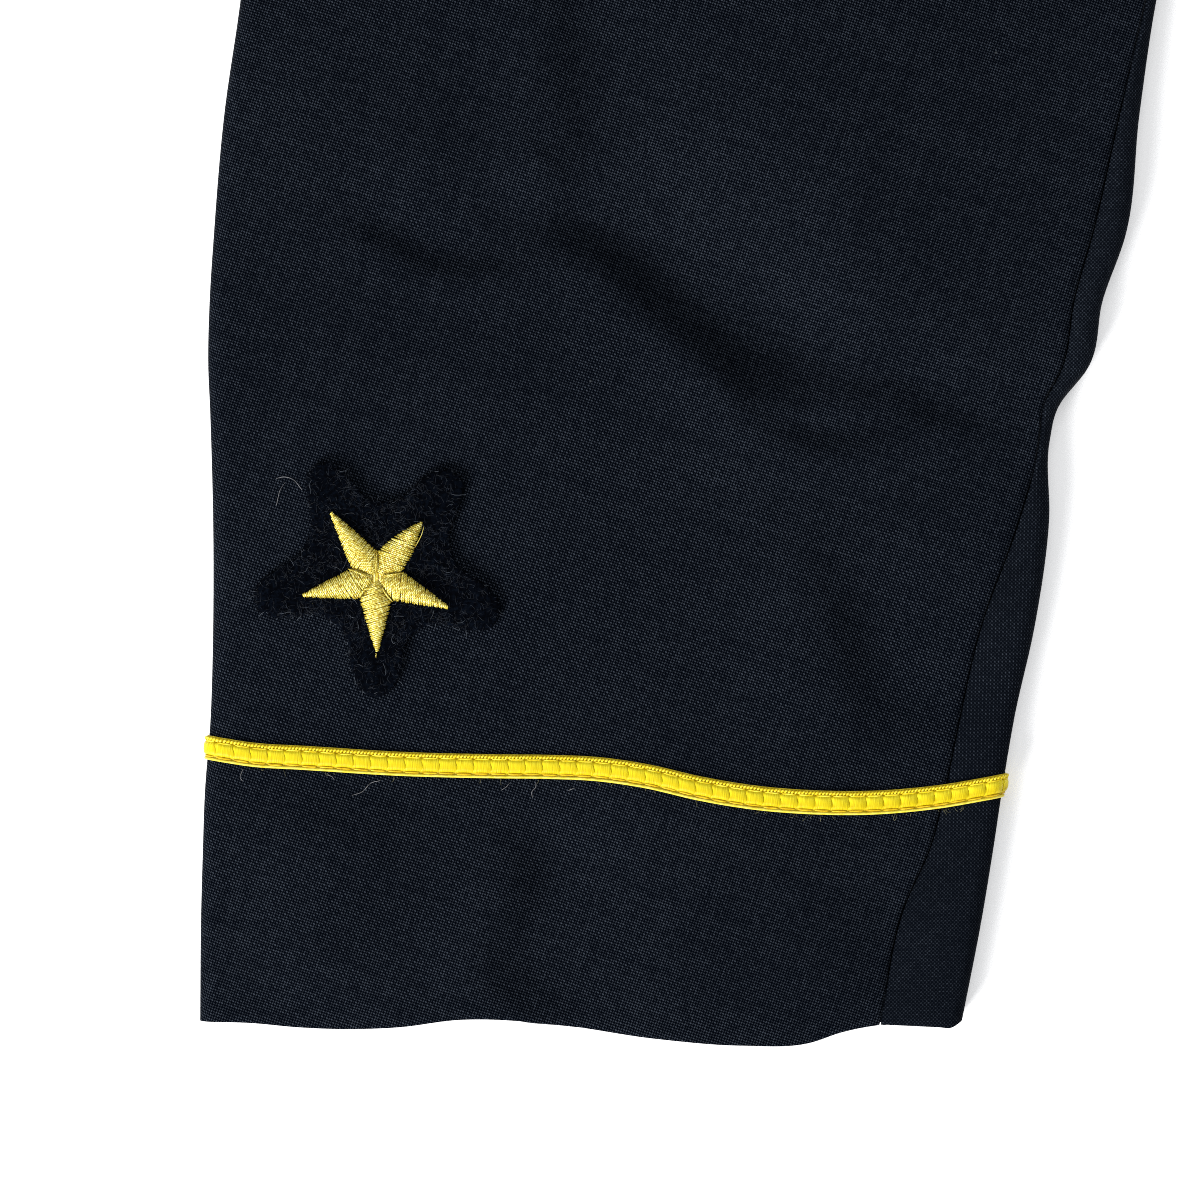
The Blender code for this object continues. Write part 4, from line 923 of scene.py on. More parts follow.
def makeSleeveSheet(kind, side, look):
    # a mesh is its close and wide rows, and its columns over the top, round the edge and underneath
    fineRows, coarseRows, over, edge, under = look["mesh"]
    ups = np.concatenate([np.linspace(0, sleeve["fineEnd"], fineRows, endpoint=False),
                          np.linspace(sleeve["fineEnd"], sleeve["head"], coarseRows + 1)])
    one = np.ones((len(ups), 1))
    if kind == "topsleeve":
        fore, hind = foreTurn(ups, sleeve["seamHalf"]), hindTurn(ups, -sleeve["seamHalf"])
        lip = foreTurn(ups, sleeve["seamLip"])
        turns = stretches((fore, 0), (lip, 1), (2 * one, over), (3 * one, edge), (hind, under))
        reference = over // 2
    else:
        hind, fore = hindTurn(ups, sleeve["seamHalf"]), 5 + foreTurn(ups, -sleeve["seamHalf"])
        lip = 5 + foreTurn(ups, -sleeve["seamLip"])
        turns = stretches((hind, 0), (4 * one, under), (5 * one, edge), (lip, over), (fore, 1))
        reference = turns.shape[1] - 1
    grid = sleevePoints(ups, turns)
    rows, columns = grid.shape[:2]
    piece = newGrid(f"{kind}_{side}_cloth", columns, rows)
    places = np.concatenate([draft(side, grid[..., :2]), grid[..., 2:] * mm], axis=-1)
    last = places[-1] - places[-2]  # the sleeve head is sewn to the armhole with no gap
    places[-1] += last / np.linalg.norm(last, axis=1, keepdims=True) * sleeve["headReach"] * mm
    setPoints(piece, places.reshape(-1, 3))
    step = np.diff(places, axis=1)
    unrolled = np.cumsum(np.hypot(step[..., 0], step[..., 2]), axis=1)
    unrolled = np.concatenate([np.zeros((rows, 1)), unrolled], axis=1)
    unrolled = places[:, reference, None, 0] + sides[side] * (unrolled - unrolled[:, reference, None])
    laid = (unrolled + 1j * places[..., 1]) * np.exp(-1j * math.radians(look["grain"]))
    setFlatMap(piece, "grain", laid.real.ravel(), laid.imag.ravel())
    turnUp(piece, (rows // 4) * (columns - 1) + reference - 2)
    foldCloth(piece, look)
    where = pointsOf(piece).reshape(rows, columns, 3)  # the seam's edge turns in
    seam = 0 if kind == "topsleeve" else columns - 1
    inward = normalsOf(piece).reshape(rows, columns, 3)[:, seam + (1 if seam == 0 else -1)]
    where[:, seam] -= inward * sleeve["seamSunk"] * mm
    setPoints(piece, where.reshape(-1, 3))
    return finishSheet(piece, f"{kind}_{side}", look)


skins = {}
for side, sign in sides.items():
    common = dict(side=side, folds=sleeveFolds[side], wall=sleeve["wall"], seed=sleeve["seed"] + sign)
    meshes = {"right": ((150, 84, 112, 14, 14), (150, 84, 14, 10, 20)),
              "left": ((64, 64, 56, 10, 8), (64, 64, 8, 8, 12))}[side]
    top = makeSleeveSheet("topsleeve", side, dict(
        common, mesh=meshes[0], cut=(262, 627, 130000), restsOn=[f"undersleeve_{side}"], grain=18.0 * sign,
    ))
    under = makeSleeveSheet("undersleeve", side, dict(
        common, mesh=meshes[1], cut=(180, 600, 85000), grain=45.0 * sign, material=worstedUnder,
    ))
    corners, faces = [], []
    for piece in (top, under):
        faces += [[k + len(corners) for k in face.vertices] for face in piece.data.polygons]
        corners += [vertex.co.copy() for vertex in piece.data.vertices]
    skins[side] = BVHTree.FromPolygons(corners, faces)


def heightOn(side, spots):
    # the height of the sleeve's cloth at places seen from above
    drops = (skins[side].ray_cast(Vector((x, y, 0.1)), Vector((0, 0, -1))) for x, y in spots)
    return np.array([hit[0].z for hit in drops])


def clothAt(side, up, turn, out=0.0):
    # places on the dressed sleeve, or off it by out millimetres
    turn = np.asarray(turn, float)[:, None] % 5.0
    spot = sleevePoints(up, turn, out)[:, 0]
    where = np.concatenate([draft(side, spot[:, :2]), spot[:, 2:] * mm], axis=1)
    turn = turn[:, 0]
    facing = np.select([turn < 1, turn <= 2, turn < 3], [np.sin(turn * math.pi / 2), np.ones(len(turn)),
                                                         np.sin(math.pi / 2 - (turn - 2) * math.pi)], 0.0)
    lift = looseness(where, sleeve["seed"] + sides[side], *looseHeights)
    lift -= foldDrop(where, side, sleeveFolds[side])
    where[:, 2] += lift * ramp(0.3, 1.0, facing)
    return where


# Threads: one is modelled, repeated for each route and laid along it


def layThreads(name, routes, radius, facets=6, taper=0.25):
    # routes holds equally many points for each thread, and radius is one for all or one for each
    routes = np.asarray(routes, float)
    count, stops = routes.shape[:2]
    deselectAll()
    bpy.ops.mesh.primitive_circle_add(vertices=facets, radius=1.0, rotation=(0, math.pi / 2, 0))
    piece = bpy.context.object
    piece.name = name
    bpy.ops.object.transform_apply(location=False, rotation=True, scale=False)
    editAll(piece)
    for _ in range(stops - 1):
        bpy.ops.mesh.extrude_region_move(TRANSFORM_OT_translate={"value": (1.0, 0, 0)})
    stopEditing()
    apart = 10.0
    repeat(piece, count, (0, 0, apart))
    flat = pointsOf(piece)
    thread = np.rint(flat[:, 2] / apart).astype(int)
    stop = np.clip(np.rint(flat[:, 0]).astype(int), 0, stops - 1)
    angle = np.arctan2(flat[:, 2] - thread * apart, flat[:, 1])
    way = np.gradient(routes, axis=1)
    way /= np.linalg.norm(way, axis=2, keepdims=True) + 1e-12
    aside = np.cross(way, (0.0, 0.0, 1.0))
    aside /= np.linalg.norm(aside, axis=2, keepdims=True) + 1e-9
    lift = np.cross(aside, way)
    ends = np.sin(np.linspace(0.0, math.pi, stops)) ** 0.5
    size = np.broadcast_to(np.asarray(radius, float), (count,))[thread] * (taper + (1 - taper) * ends[stop])
    around = aside[thread, stop] * np.cos(angle)[:, None] + lift[thread, stop] * np.sin(angle)[:, None]
    setPoints(piece, routes[thread, stop] + around * size[:, None])
    run = np.cumsum(np.linalg.norm(np.diff(routes, axis=1, prepend=routes[:, :1]), axis=2), axis=1)
    along = run[thread, stop] + thread * 7.3 * mm
    turn = ((angle + math.pi / 2) % math.tau) / math.tau
    setFlatMap(piece, "thread", along, turn)
    # painted shade towards each thread's ends, read by the gold's material
    atEnds = np.abs(2 * stop / (stops - 1) - 1) ** 4
    setShade(piece, atEnds)
    faceOut(piece)
    return piece


# The cuff's braid. It is made flat, x along it, y up the sleeve and z off the cloth, and then wrapped round

print("braid")
braid = dict(
    unit=3.02,  # a stitch of the satin
    satinHalf=1.1, beadsAt=1.66, upperStitchAt=1.2, lowerStitchAt=-1.36, lowerCordAt=-1.84, upperEdgeAt=2.03,
    middleUp=43.0, trackHalf=2.5, trackStep=0.1,  # its mean height, and the track that it is wrapped along
)
# columns of the satin in a stitch
braidAlong = [0.0, 0.03, 0.08, 0.17, 0.3, 0.45, 0.6, 0.74, 0.86, 0.94, 0.98]


def braidTrack(side):
    # places evenly along the track's middle and edges, and the way off the cloth there
    turn = np.linspace(2.5, -2.5, 2400) % 5.0
    spot = sleevePoints(np.full(len(turn), braid["middleUp"]), turn[:, None])[:, 0]
    row = stationAt([braid["middleUp"]])
    across = (row["outerX"][0] - spot[:, 0]) / row["width"][0]
    up = np.where(turn < 2.5, braidHeight(across), braidHeight(across, onTop=False))
    rows = [clothAt(side, up + aside, turn) for aside in np.array((-1, 0, 1)) * braid["trackHalf"]]
    off = clothAt(side, up, turn, 1.0) - rows[1]
    run = np.concatenate([[0.0], np.cumsum(np.linalg.norm(np.diff(rows[1], axis=0), axis=1))])
    even = np.linspace(0.0, run[-1], int(run[-1] / (braid["trackStep"] * mm)))

    def spread(values):
        return np.stack([np.interp(even, run, column) for column in values.T], axis=1)

    off = spread(off)
    for _ in range(12):
        off = (np.roll(off, 6, axis=0) + off + np.roll(off, -6, axis=0)) / 3
    off /= np.linalg.norm(off, axis=1, keepdims=True)
    return dict(length=run[-1], even=even, rows=[spread(row) for row in rows], off=off)


def wrapRound(piece, track, stretch):
    flat = pointsOf(piece)
    at = (flat[:, 0] * stretch) % track["length"]
    setFlatMap(piece, "thread", flat[:, 0], flat[:, 1])

    def place(values):
        return np.stack([np.interp(at, track["even"], column) for column in values.T], axis=1)

    low, middle, high = (place(row) for row in track["rows"])
    share = (flat[:, 1] / (braid["trackHalf"] * mm))[:, None]
    where = middle + np.where(share > 0, (high - middle) * share, (middle - low) * share)
    setPoints(piece, where + place(track["off"]) * flat[:, 2:3])


def sweepFlat(name, section, columns):
    # a closed section of (y, z) points, run flat along the columns, which are places in metres
    piece = newGrid(name, len(columns), len(section))
    flat = np.zeros((len(section), len(columns), 3))
    flat[..., 0] = columns[None, :]
    flat[..., 1:] = np.asarray(section)[:, None] * mm
    setPoints(piece, flat.reshape(-1, 3))
    return piece


def braidSection():
    # the band under the cords and stitches, with the satin's arch in its middle, closed on itself
    top = [(2.04, 0.15), (1.95, 0.42), (1.7, 0.5), (1.4, 0.44), (1.2, 0.38), (1.08, 0.58), (0.9, 0.78),
           (0.56, 0.91), (0.18, 0.95), (-0.18, 0.95), (-0.56, 0.9), (-0.9, 0.76), (-1.1, 0.54),
           (-1.26, 0.34), (-1.6, 0.32), (-1.95, 0.28), (-2.04, 0.1)]
    return top + [(-2.0, -0.05), (2.0, -0.05), top[0]]


def makeBraidBody(count, puff):
    steps = np.array([unit + step for unit in range(count) for step in braidAlong] + [count], float)
    piece = sweepFlat("braid body", braidSection(), steps * braid["unit"] * mm)
    flat = pointsOf(piece)
    unit = flat[:, 0] / (braid["unit"] * mm)
    high = flat[:, 1] / (braid["satinHalf"] * mm)
    satinHere = ramp(0.0, 1.0, 1 - (high / 1.06) ** 2) * (flat[:, 2] > 0.5 * mm)
    puffed = np.interp(unit % count, np.arange(count), puff)
    near = np.abs(np.sin(unit * math.pi))
    flat[:, 2] -= satinHere * (1 - near ** (0.3 + 0.35 * puffed)) * (0.22 + 0.3 * puffed) * mm
    # painted shade: the satin darkens into the gaps between its stitches and towards its lower side, and the
    # cords' bed is dark
    gap = np.maximum(1 - near / 0.30, 0.0) ** 1.5
    shade = np.maximum(0.5 * gap, np.clip(0.24 - 0.40 * high, 0.0, 0.42))
    shade = np.where(np.abs(high) > 1.0, 0.7, shade)
    setShade(piece, shade)
    bow = 0.3 * (1 - high**2)
    lean = np.array([noise.noise(Vector((math.floor(u + 0.01) * 0.9, 0, 0))) for u in unit % count]) * 0.5
    flat[:, 0] += satinHere * (bow + (lean - 0.4) * high) * mm * 0.8
    setPoints(piece, flat)
    return piece


def makeBeads(count):
    # one bead of the upper cord, leaning along it, and its row
    deselectAll()
    bpy.ops.mesh.primitive_uv_sphere_add(segments=6, ring_count=5, radius=1.0)
    piece = bpy.context.object
    editAll(piece)
    bpy.ops.transform.resize(value=(0.225 * mm, 0.45 * mm, 0.26 * mm))
    bpy.ops.transform.rotate(value=math.radians(38), orient_axis="Z", center_override=(0, 0, 0))
    bpy.ops.transform.translate(value=(0.3 * mm, braid["beadsAt"] * mm, 0.52 * mm))
    stopEditing()
    repeat(piece, count * 5, (braid["unit"] / 5 * mm, 0, 0))
    flat = pointsOf(piece)
    wander = np.array([noise.noise(Vector((x / (2.2 * mm), 3.0, 0.0))) for x in flat[:, 0]])
    flat[:, 1] += wander * 0.08 * mm
    setPoints(piece, flat)
    return piece


def makeLongStitches(count, y, radius, z, start, length):
    # long stitches end to end, each bowed a little off the band
    deselectAll()
    bpy.ops.mesh.primitive_uv_sphere_add(segments=7, ring_count=9, radius=1.0, rotation=(0, math.pi / 2, 0))
    piece = bpy.context.object
    bpy.ops.object.transform_apply(location=False, rotation=True, scale=False)
    flat = pointsOf(piece)
    reach = 1 - (1 - np.abs(flat[:, 0])) ** 1.6
    girth = np.sqrt(np.maximum(1 - flat[:, 0] ** 2, 1e-6))
    fuller = np.maximum(1 - reach**5, 0.0) ** 0.5 / girth
    flat[:, 0] = np.sign(flat[:, 0]) * reach * braid["unit"] * length / 2 * mm
    flat[:, 1] *= radius * mm * fuller
    flat[:, 2] *= radius * mm * fuller
    flat[:, 2] += (z - 0.10 * reach**2) * mm
    flat[:, 1] += y * mm
    flat[:, 0] += (start + 0.5) * braid["unit"] * mm
    setPoints(piece, flat)
    repeat(piece, count, (braid["unit"] * mm, 0, 0))
    flat = pointsOf(piece)
    which = np.floor(flat[:, 0] / (braid["unit"] * mm) - start)
    flat[:, 1] += np.array([noise.noise(Vector((k * 1.7, y, 0.0))) for k in which]) * 0.16 * mm
    setPoints(piece, flat)
    return piece


def makeEdgeCord(name, y, z, radius, count):
    ring = [(y + radius * math.cos(a), z + radius * math.sin(a)) for a in np.linspace(0, math.tau, 9)]
    return sweepFlat(name, ring, np.linspace(0, count, count * 5 + 1) * braid["unit"] * mm)


def makeBraid(side):
    track = braidTrack(side)
    count = round(track["length"] / (braid["unit"] * mm))
    stretch = track["length"] / (count * braid["unit"] * mm)
    print(f"braid, {track['length'] / mm:.0f} mm round the {side} cuff")
    # the satin is flatter where the cuff's outer half runs straight, and puffs up towards the inner edge
    puff = np.interp(np.arange(count), [0, 30, 38, 46, 60, count], [0.1, 0.15, 0.75, 0.9, 0.4, 0.1])
    parts = [
        (makeBraidBody(count, puff), satin),
        (makeBeads(count), beadYellow),
        (makeLongStitches(count, braid["upperStitchAt"], 0.18, 0.56, 0.0, 0.86), paleStitch),
        (makeLongStitches(count, braid["lowerStitchAt"], 0.19, 0.44, 0.03, 0.88), amberStitch),
        (makeEdgeCord("lower cord", braid["lowerCordAt"], 0.34, 0.25, count), cordYellow),
        (makeEdgeCord("upper edge", braid["upperEdgeAt"], 0.24, 0.11, count), oliveEdge),
    ]
    for piece, finish in parts:
        wrapRound(piece, track, stretch)
        piece.data.materials.clear()
        piece.data.materials.append(finish)
    whole = joinAll([piece for piece, finish in parts], f"braid_{side}_dressed")
    faceOut(whole, merge=0.002)
    shadeRound(whole, 70)
    finishPiece(whole, f"braid_{side}")


for side in sides:
    makeBraid(side)


# The stars

print("stars")
star = dict(
    feltAt=(459.2, -122.9), feltTop=1.6, feltWall=1.3,
    goldAt=(459.4, -125.2), goldNotch=4.75, tipHalf=0.2, ridge=1.6, pitch=0.34, lean=18.0,
    threadRadius=0.18, grooveRadius=0.15, looseRadius=0.07, feltPoints=220,
)
# the felt's arms: the way of each in degrees, its length, half its width and how far out the next notch is
feltArms = [(57.5, 20.8, 3.5, 11.5), (131.3, 21.3, 3.8, 13.6), (203.5, 23.3, 4.0, 13.9),
            (270.6, 23.2, 4.0, 13.1), (343.1, 22.8, 3.7, 13.4)]
# those of gold: the way and the length of each, and how full its sides are
goldArms = [(55.1, 14.1, 0.1), (129.2, 12.6, 0.5), (202.5, 13.8, 0.1), (269.6, 13.1, 0.15),
            (346.5, 13.4, 0.1)]
# threads along the grooves between the arms, and loose ones: places from the star's middle and their heights
grooveThreads = [
    [(0.25, 4.9, 0.35), (0.28, 3.6, 0.85), (0.1, 2.4, 1.1), (0.1, 0.9, 1.15)],
    [(-0.1, 4.7, 0.3), (-0.02, 3.5, 0.8), (-0.12, 2.3, 1.05), (-0.1, 1.0, 1.1)],
    [(4.95, 1.55, 0.5), (3.6, 1.05, 1.0), (2.2, 0.42, 1.2), (0.9, -0.02, 1.15)],
    [(4.6, 1.2, 0.45), (3.3, 0.66, 0.95), (2.1, 0.22, 1.15), (1.2, 0.1, 1.1)],
    [(-4.75, 0.8, 0.4), (-3.4, 0.62, 0.95), (-2.1, 0.48, 1.15), (-1.0, 0.2, 1.15)],
    [(-4.4, 0.45, 0.4), (-3.2, 0.36, 0.85), (-2.0, 0.2, 1.1), (-1.2, 0.1, 1.1)],
    [(2.95, -3.4, 0.5), (2.5, -2.7, 0.85), (2.0, -2.1, 1.0), (1.1, -1.7, 1.1)],
    [(-2.85, -4.2, 0.45), (-2.2, -3.5, 0.8), (-1.6, -2.7, 0.95), (-1.1, -1.8, 1.1)],
]
looseThreads = [
    [(-8.35, 9.0, 0.5), (-8.1, 7.9, 0.75), (-7.5, 6.6, 0.7), (-6.75, 5.3, 0.35)],
    [(0.05, -13.2, 0.5), (0.02, -13.5, 0.4), (0.08, -13.8, 0.3), (0.02, -14.05, 0.1)],
]


def wayTo(angle):
    return np.array((math.cos(math.radians(angle)), math.sin(math.radians(angle))))


def feltEdge():
    # the outline of the rounded star of felt, as offsets from its middle
    spots = []
    for k, (angle, length, half, notch) in enumerate(feltArms):
        way = wayTo(angle)
        aside = np.array((-way[1], way[0]))
        for turn in (-80, -40, 0, 40, 80):
            spots.append(way * (length - half) + half * (
                way * math.cos(math.radians(turn)) + aside * math.sin(math.radians(turn))))
        following = feltArms[(k + 1) % len(feltArms)][0]
        between = angle + ((following - angle) % 360) / 2
        spots += [notch * wayTo(between + spread) for spread in (-8, 8)]
    loop = np.array(spots[-3:] + spots + spots[:4])
    stops = np.concatenate([[0.0], np.cumsum(np.linalg.norm(np.diff(loop, axis=0), axis=1))])
    edge = glide(stops, loop, np.linspace(stops[3], stops[3 + len(spots)], star["feltPoints"] + 1))[:-1]
    uneven = [1 + 0.012 * noise.noise(Vector((x / 1.6, y / 1.6, 4.0))) for x, y in edge]
    return edge * np.array(uneven)[:, None]


def makeFeltStar(side):
    # rings of points, each a share of the way out, and how far the outer ones are lowered
    shares = [1.0, 0.988, 0.965, 0.93, 0.88, 0.80, 0.70, 0.58, 0.44, 0.30, 0.16, 0.0]
    lowered = [0.6, 0.3, 0.12, 0.03] + [0.0] * 8
    edge = feltEdge()
    edge = np.concatenate([edge, edge[:1]])
    piece = newGrid(f"star_felt_{side}_cloth", len(edge), len(shares))
    offsets = np.array(shares)[:, None, None] * edge[None]
    spots = draft(side, offsets.reshape(-1, 2) + star["feltAt"])
    top = heightOn(side, spots) + star["feltTop"] * mm - np.repeat(lowered, len(edge)) * mm
    top += np.array([noise.noise(Vector((x, y, 0.0)) / (1.4 * mm)) for x, y in spots]) * 0.06 * mm
    setPoints(piece, np.concatenate([spots, top[:, None]], axis=1))
    setFlatMap(piece, "grain", spots[:, 0], spots[:, 1])
    faceOut(piece, merge=0.001)
    turnUp(piece, len(piece.data.polygons) // 2)
    look = dict(wall=star["feltWall"], edge=0.3, material=felt, slot="felt", cut=(43.4, 41.3, 930),
                restsOn=[f"topsleeve_{side}"])
    return finishSheet(piece, f"star_felt_{side}", look)


def makeFibres(side, pile, look):
    # curved hairs that lie on the felt, and ones that stand out from its edge
    dice = random.Random(look["seed"])
    edge = feltEdge()
    routes = []
    for k in range(look["inside"] + look["edge"]):
        outline = edge[dice.randrange(len(edge))]
        onEdge = k >= look["inside"]
        share = dice.uniform(0.96, 1.0) if onEdge else math.sqrt(dice.uniform(0.0, 0.95))
        spot = outline * share
        if onEdge:
            heading = math.atan2(outline[1], outline[0]) + dice.gauss(0, 0.7)
        else:
            heading = dice.uniform(0, math.tau)
        length = dice.uniform(*look["length"]) * (0.55 if onEdge else 1.0)
        curl, twirl = dice.gauss(0, look["curl"]), dice.gauss(0, 0.2)
        lift = dice.uniform(0.02, 0.12)
        route = []
        for step in range(5):
            level = 0.30 * onEdge * (step + 1) / 5
            arch = 0.12 * math.sin(math.pi * step / 4)
            route.append((*spot, lift + dice.uniform(0.0, 0.05) + arch - level))
            spot = spot + np.array((math.cos(heading), math.sin(heading))) * length / 4
            heading += curl / 2 + twirl * (step - 2) / 2
        routes.append(route)
    routes = np.array(routes)
    spots = draft(side, routes[..., :2].reshape(-1, 2) + star["feltAt"])
    hits = [pile.ray_cast(Vector((x, y, 0.1)), Vector((0, 0, -1)))[0] for x, y in spots]
    cloth = heightOn(side, spots)
    under = np.array([hit.z if hit else low for hit, low in zip(hits, cloth)])
    under = np.maximum(under.reshape(routes.shape[:2]), cloth.reshape(routes.shape[:2]) + 0.06 * mm)
    for step in range(1, 5):  # a hair that leaves the felt droops and doesn't drop
        under[:, step] = np.maximum(under[:, step], under[:, step - 1] - 0.35 * mm)
    spots = spots.reshape(*routes.shape[:2], 2)
    laid = np.concatenate([spots, (under + routes[..., 2] * mm)[..., None]], axis=-1)
    sizes = [dice.uniform(*look["size"]) * mm for _ in routes]
    piece = layThreads(f"{look['name']}_{side}", laid, sizes, facets=3, taper=0.5)
    piece.data.materials.append(look["finish"])
    shadeRound(piece, 180)
    finishPiece(piece, None)


def armHalfWidth(arm, along, plus):
    # from an arm's middle line to its edge, on its left or right side, that far along from the star's middle
    angle, length, full = goldArms[arm]
    beside = goldArms[(arm + (1 if plus else -1)) % len(goldArms)][0]
    half = math.radians(((beside - angle) % 360) / 2 if plus else ((angle - beside) % 360) / 2)
    notch, wide = star["goldNotch"] * math.cos(half), star["goldNotch"] * math.sin(half)
    if along < notch:
        return max(along, 0.0) * math.tan(half)
    share = min((along - notch) / (length - notch), 1.0)
    return wide + (star["tipHalf"] - wide) * share + full * math.sin(math.pi * share)


def makeGoldStar(side, pile):
    # satin stitches slantwise across each arm, over a padded middle
    dice = random.Random(57)
    lean = math.radians(star["lean"])
    routes = []
    for arm, (angle, length, _) in enumerate(goldArms):
        way = wayTo(angle)
        aside = np.array((-way[1], way[0]))
        for start in np.arange(0.9, length - 0.1, star["pitch"]):
            slant = lean + dice.gauss(0, 0.04)
            ends = []
            for plus in (False, True):
                sign = 1 if plus else -1
                reach = armHalfWidth(arm, start, plus)
                for _ in range(8):
                    reach = armHalfWidth(arm, start + sign * reach * math.sin(slant), plus) / math.cos(slant)
                ends.append(sign * (reach + dice.uniform(-0.16, 0.02)))
            lifted = dice.uniform(-0.05, 0.07)
            route = []
            for step in range(9):
                across = (ends[0] + ends[1]) / 2 - (ends[1] - ends[0]) / 2 * math.cos(math.pi * step / 8)
                along, beside = start + across * math.sin(slant), across * math.cos(slant)
                share = abs(across) / max(abs(ends[1] if across > 0 else ends[0]), 0.05)
                full = 0.62 + 0.38 * math.sin(math.pi * min(max(along / length, 0.0), 1.0)) ** 0.8
                height = star["ridge"] * full * max(1 - share**2.2, 0.0) ** 0.6
                height *= min(1.0, 0.25 + (ends[1] - ends[0]) / 3.2)
                route.append((*(way * along + aside * beside), height + lifted))
            routes.append(route)
    for spots in grooveThreads + looseThreads:
        routes.append(curveThrough(spots, 9))
    routes = np.array(routes)
    middle = draft(side, [star["goldAt"]])[0]
    base = pile.ray_cast(Vector((middle[0], middle[1], 0.1)), Vector((0, 0, -1)))[0].z
    spots = draft(side, routes[..., :2].reshape(-1, 2) + star["goldAt"]).reshape(*routes.shape[:2], 2)
    flatBase = heightOn(side, spots.reshape(-1, 2)).reshape(routes.shape[:2])
    flatBase += base - heightOn(side, [middle])[0]
    laid = np.concatenate([spots, (flatBase + routes[..., 2] * mm)[..., None]], axis=-1)
    sizes = np.full(len(routes), star["threadRadius"] * mm)
    sizes[-len(grooveThreads + looseThreads):] = star["grooveRadius"] * mm
    sizes[-len(looseThreads):] = star["looseRadius"] * mm
    threads = layThreads(f"star_gold_{side}_threads", laid, sizes, facets=6, taper=0.45)
    threads.data.materials.append(gold)
    padding = addObject("padding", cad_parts[f"star_gold_{side}"].data.copy())
    under = pointsOf(padding)
    under[:, :2] = middle + (under[:, :2] - middle) * 0.93
    under[:, 2] -= 0.75 * mm
    setPoints(padding, under)
    padding.data.materials.clear()
    padding.data.materials.append(gold)
    setFlatMap(padding, "thread", under[:, 0], under[:, 1])
    whole = joinAll([threads, padding], f"star_gold_{side}_dressed")
    shadeRound(whole, 70)
    finishPiece(whole, f"star_gold_{side}")


for side in sides:
    sheet = makeFeltStar(side)
    pile = BVHTree.FromPolygons([vertex.co for vertex in sheet.data.vertices],
                                [tuple(face.vertices) for face in sheet.data.polygons])
    makeFibres(side, pile, dict(
        name="felt_nap", seed=31, inside=2500, edge=260, length=(0.4, 1.5), curl=0.3, size=(0.016, 0.032),
        finish=nap,
    ))
    makeFibres(side, pile, dict(
        name="felt_hairs", seed=12, inside=46, edge=60, length=(1.0, 3.2), curl=0.55, size=(0.018, 0.03),
        finish=strayHair,
    ))
    makeGoldStar(side, pile)


# Lint on the right cuff, where the photo shows it, as routes in draft millimetres

print("lint")
lintCurls = [
    [(477.2, -107.7), (475.8, -107.4), (474.3, -107.8), (472.6, -109.7)],
    [(475.6, -108.4), (476.4, -109.6), (476.9, -111.4), (477.1, -112.4)],
    [(483.0, -158.9), (483.3, -159.6), (483.5, -160.4), (483.1, -161.0)],
    [(468.2, -159.6), (467.8, -160.0), (467.3, -160.2), (466.9, -160.8)],
    [(463.8, -163.5), (462.0, -162.9), (460.4, -161.3), (458.8, -160.9)],
    [(437.5, -162.6), (436.9, -162.2), (436.5, -161.9), (436.0, -161.3)],
    [(431.4, -161.1), (431.4, -162.0), (432.1, -162.9), (432.0, -163.9)],
    [(424.5, -162.2), (424.9, -162.3), (425.3, -162.5), (425.7, -162.6)],
]


def layHairs(name, side, routes, size, finish):
    # hairs lying loosely on the sleeve's cloth
    spots = draft(side, np.array(routes))
    level = heightOn(side, spots.reshape(-1, 2)).reshape(spots.shape[:2])
    arch = np.sin(np.linspace(0.0, math.pi, spots.shape[1])) * 0.18 * mm + 0.05 * mm
    laid = np.concatenate([spots, (level + arch)[..., None]], axis=-1)
    piece = layThreads(name, laid, size, facets=4, taper=0.6)
    piece.data.materials.append(finish)
    shadeRound(piece, 180)
    finishPiece(piece, None)


def braidFuzz():
    # short ends of yellow thread under the braid's lower edge, more of them towards the inner side
    dice = random.Random(8)
    routes = []
    first, last = 487.0, 356.0
    outer, inner = 489.0, 349.0  # the sleeve's edges at the braid
    for _ in range(45):
        x = first - (1 - dice.uniform(0.0, 1.0) ** 1.6) * (first - last)
        row = braidHeight(np.array([(outer - x) / (outer - inner)]))[0]
        spot = np.array((x, sleeve["cuffY"] + row - 2.3))
        heading = -math.pi / 2 + dice.gauss(0, 0.6)
        length, curl = dice.uniform(0.3, 1.3), dice.gauss(0, 0.6)
        route = []
        for _ in range(5):
            route.append(spot)
            spot = spot + np.array((math.cos(heading), math.sin(heading))) * length / 4
            heading += curl / 2
        routes.append(route)
    return routes


layHairs("lint_curls", "right", [curveThrough(spots, 12) for spots in lintCurls], 0.05 * mm, lintGrey)
layHairs("braid_fuzz", "right", braidFuzz(), 0.03 * mm, lintYellow)


# Buttons, plain and domed

print("buttons")
button = dict(radius=8.9, rim=1.1, groove=0.22, dome=3.6)


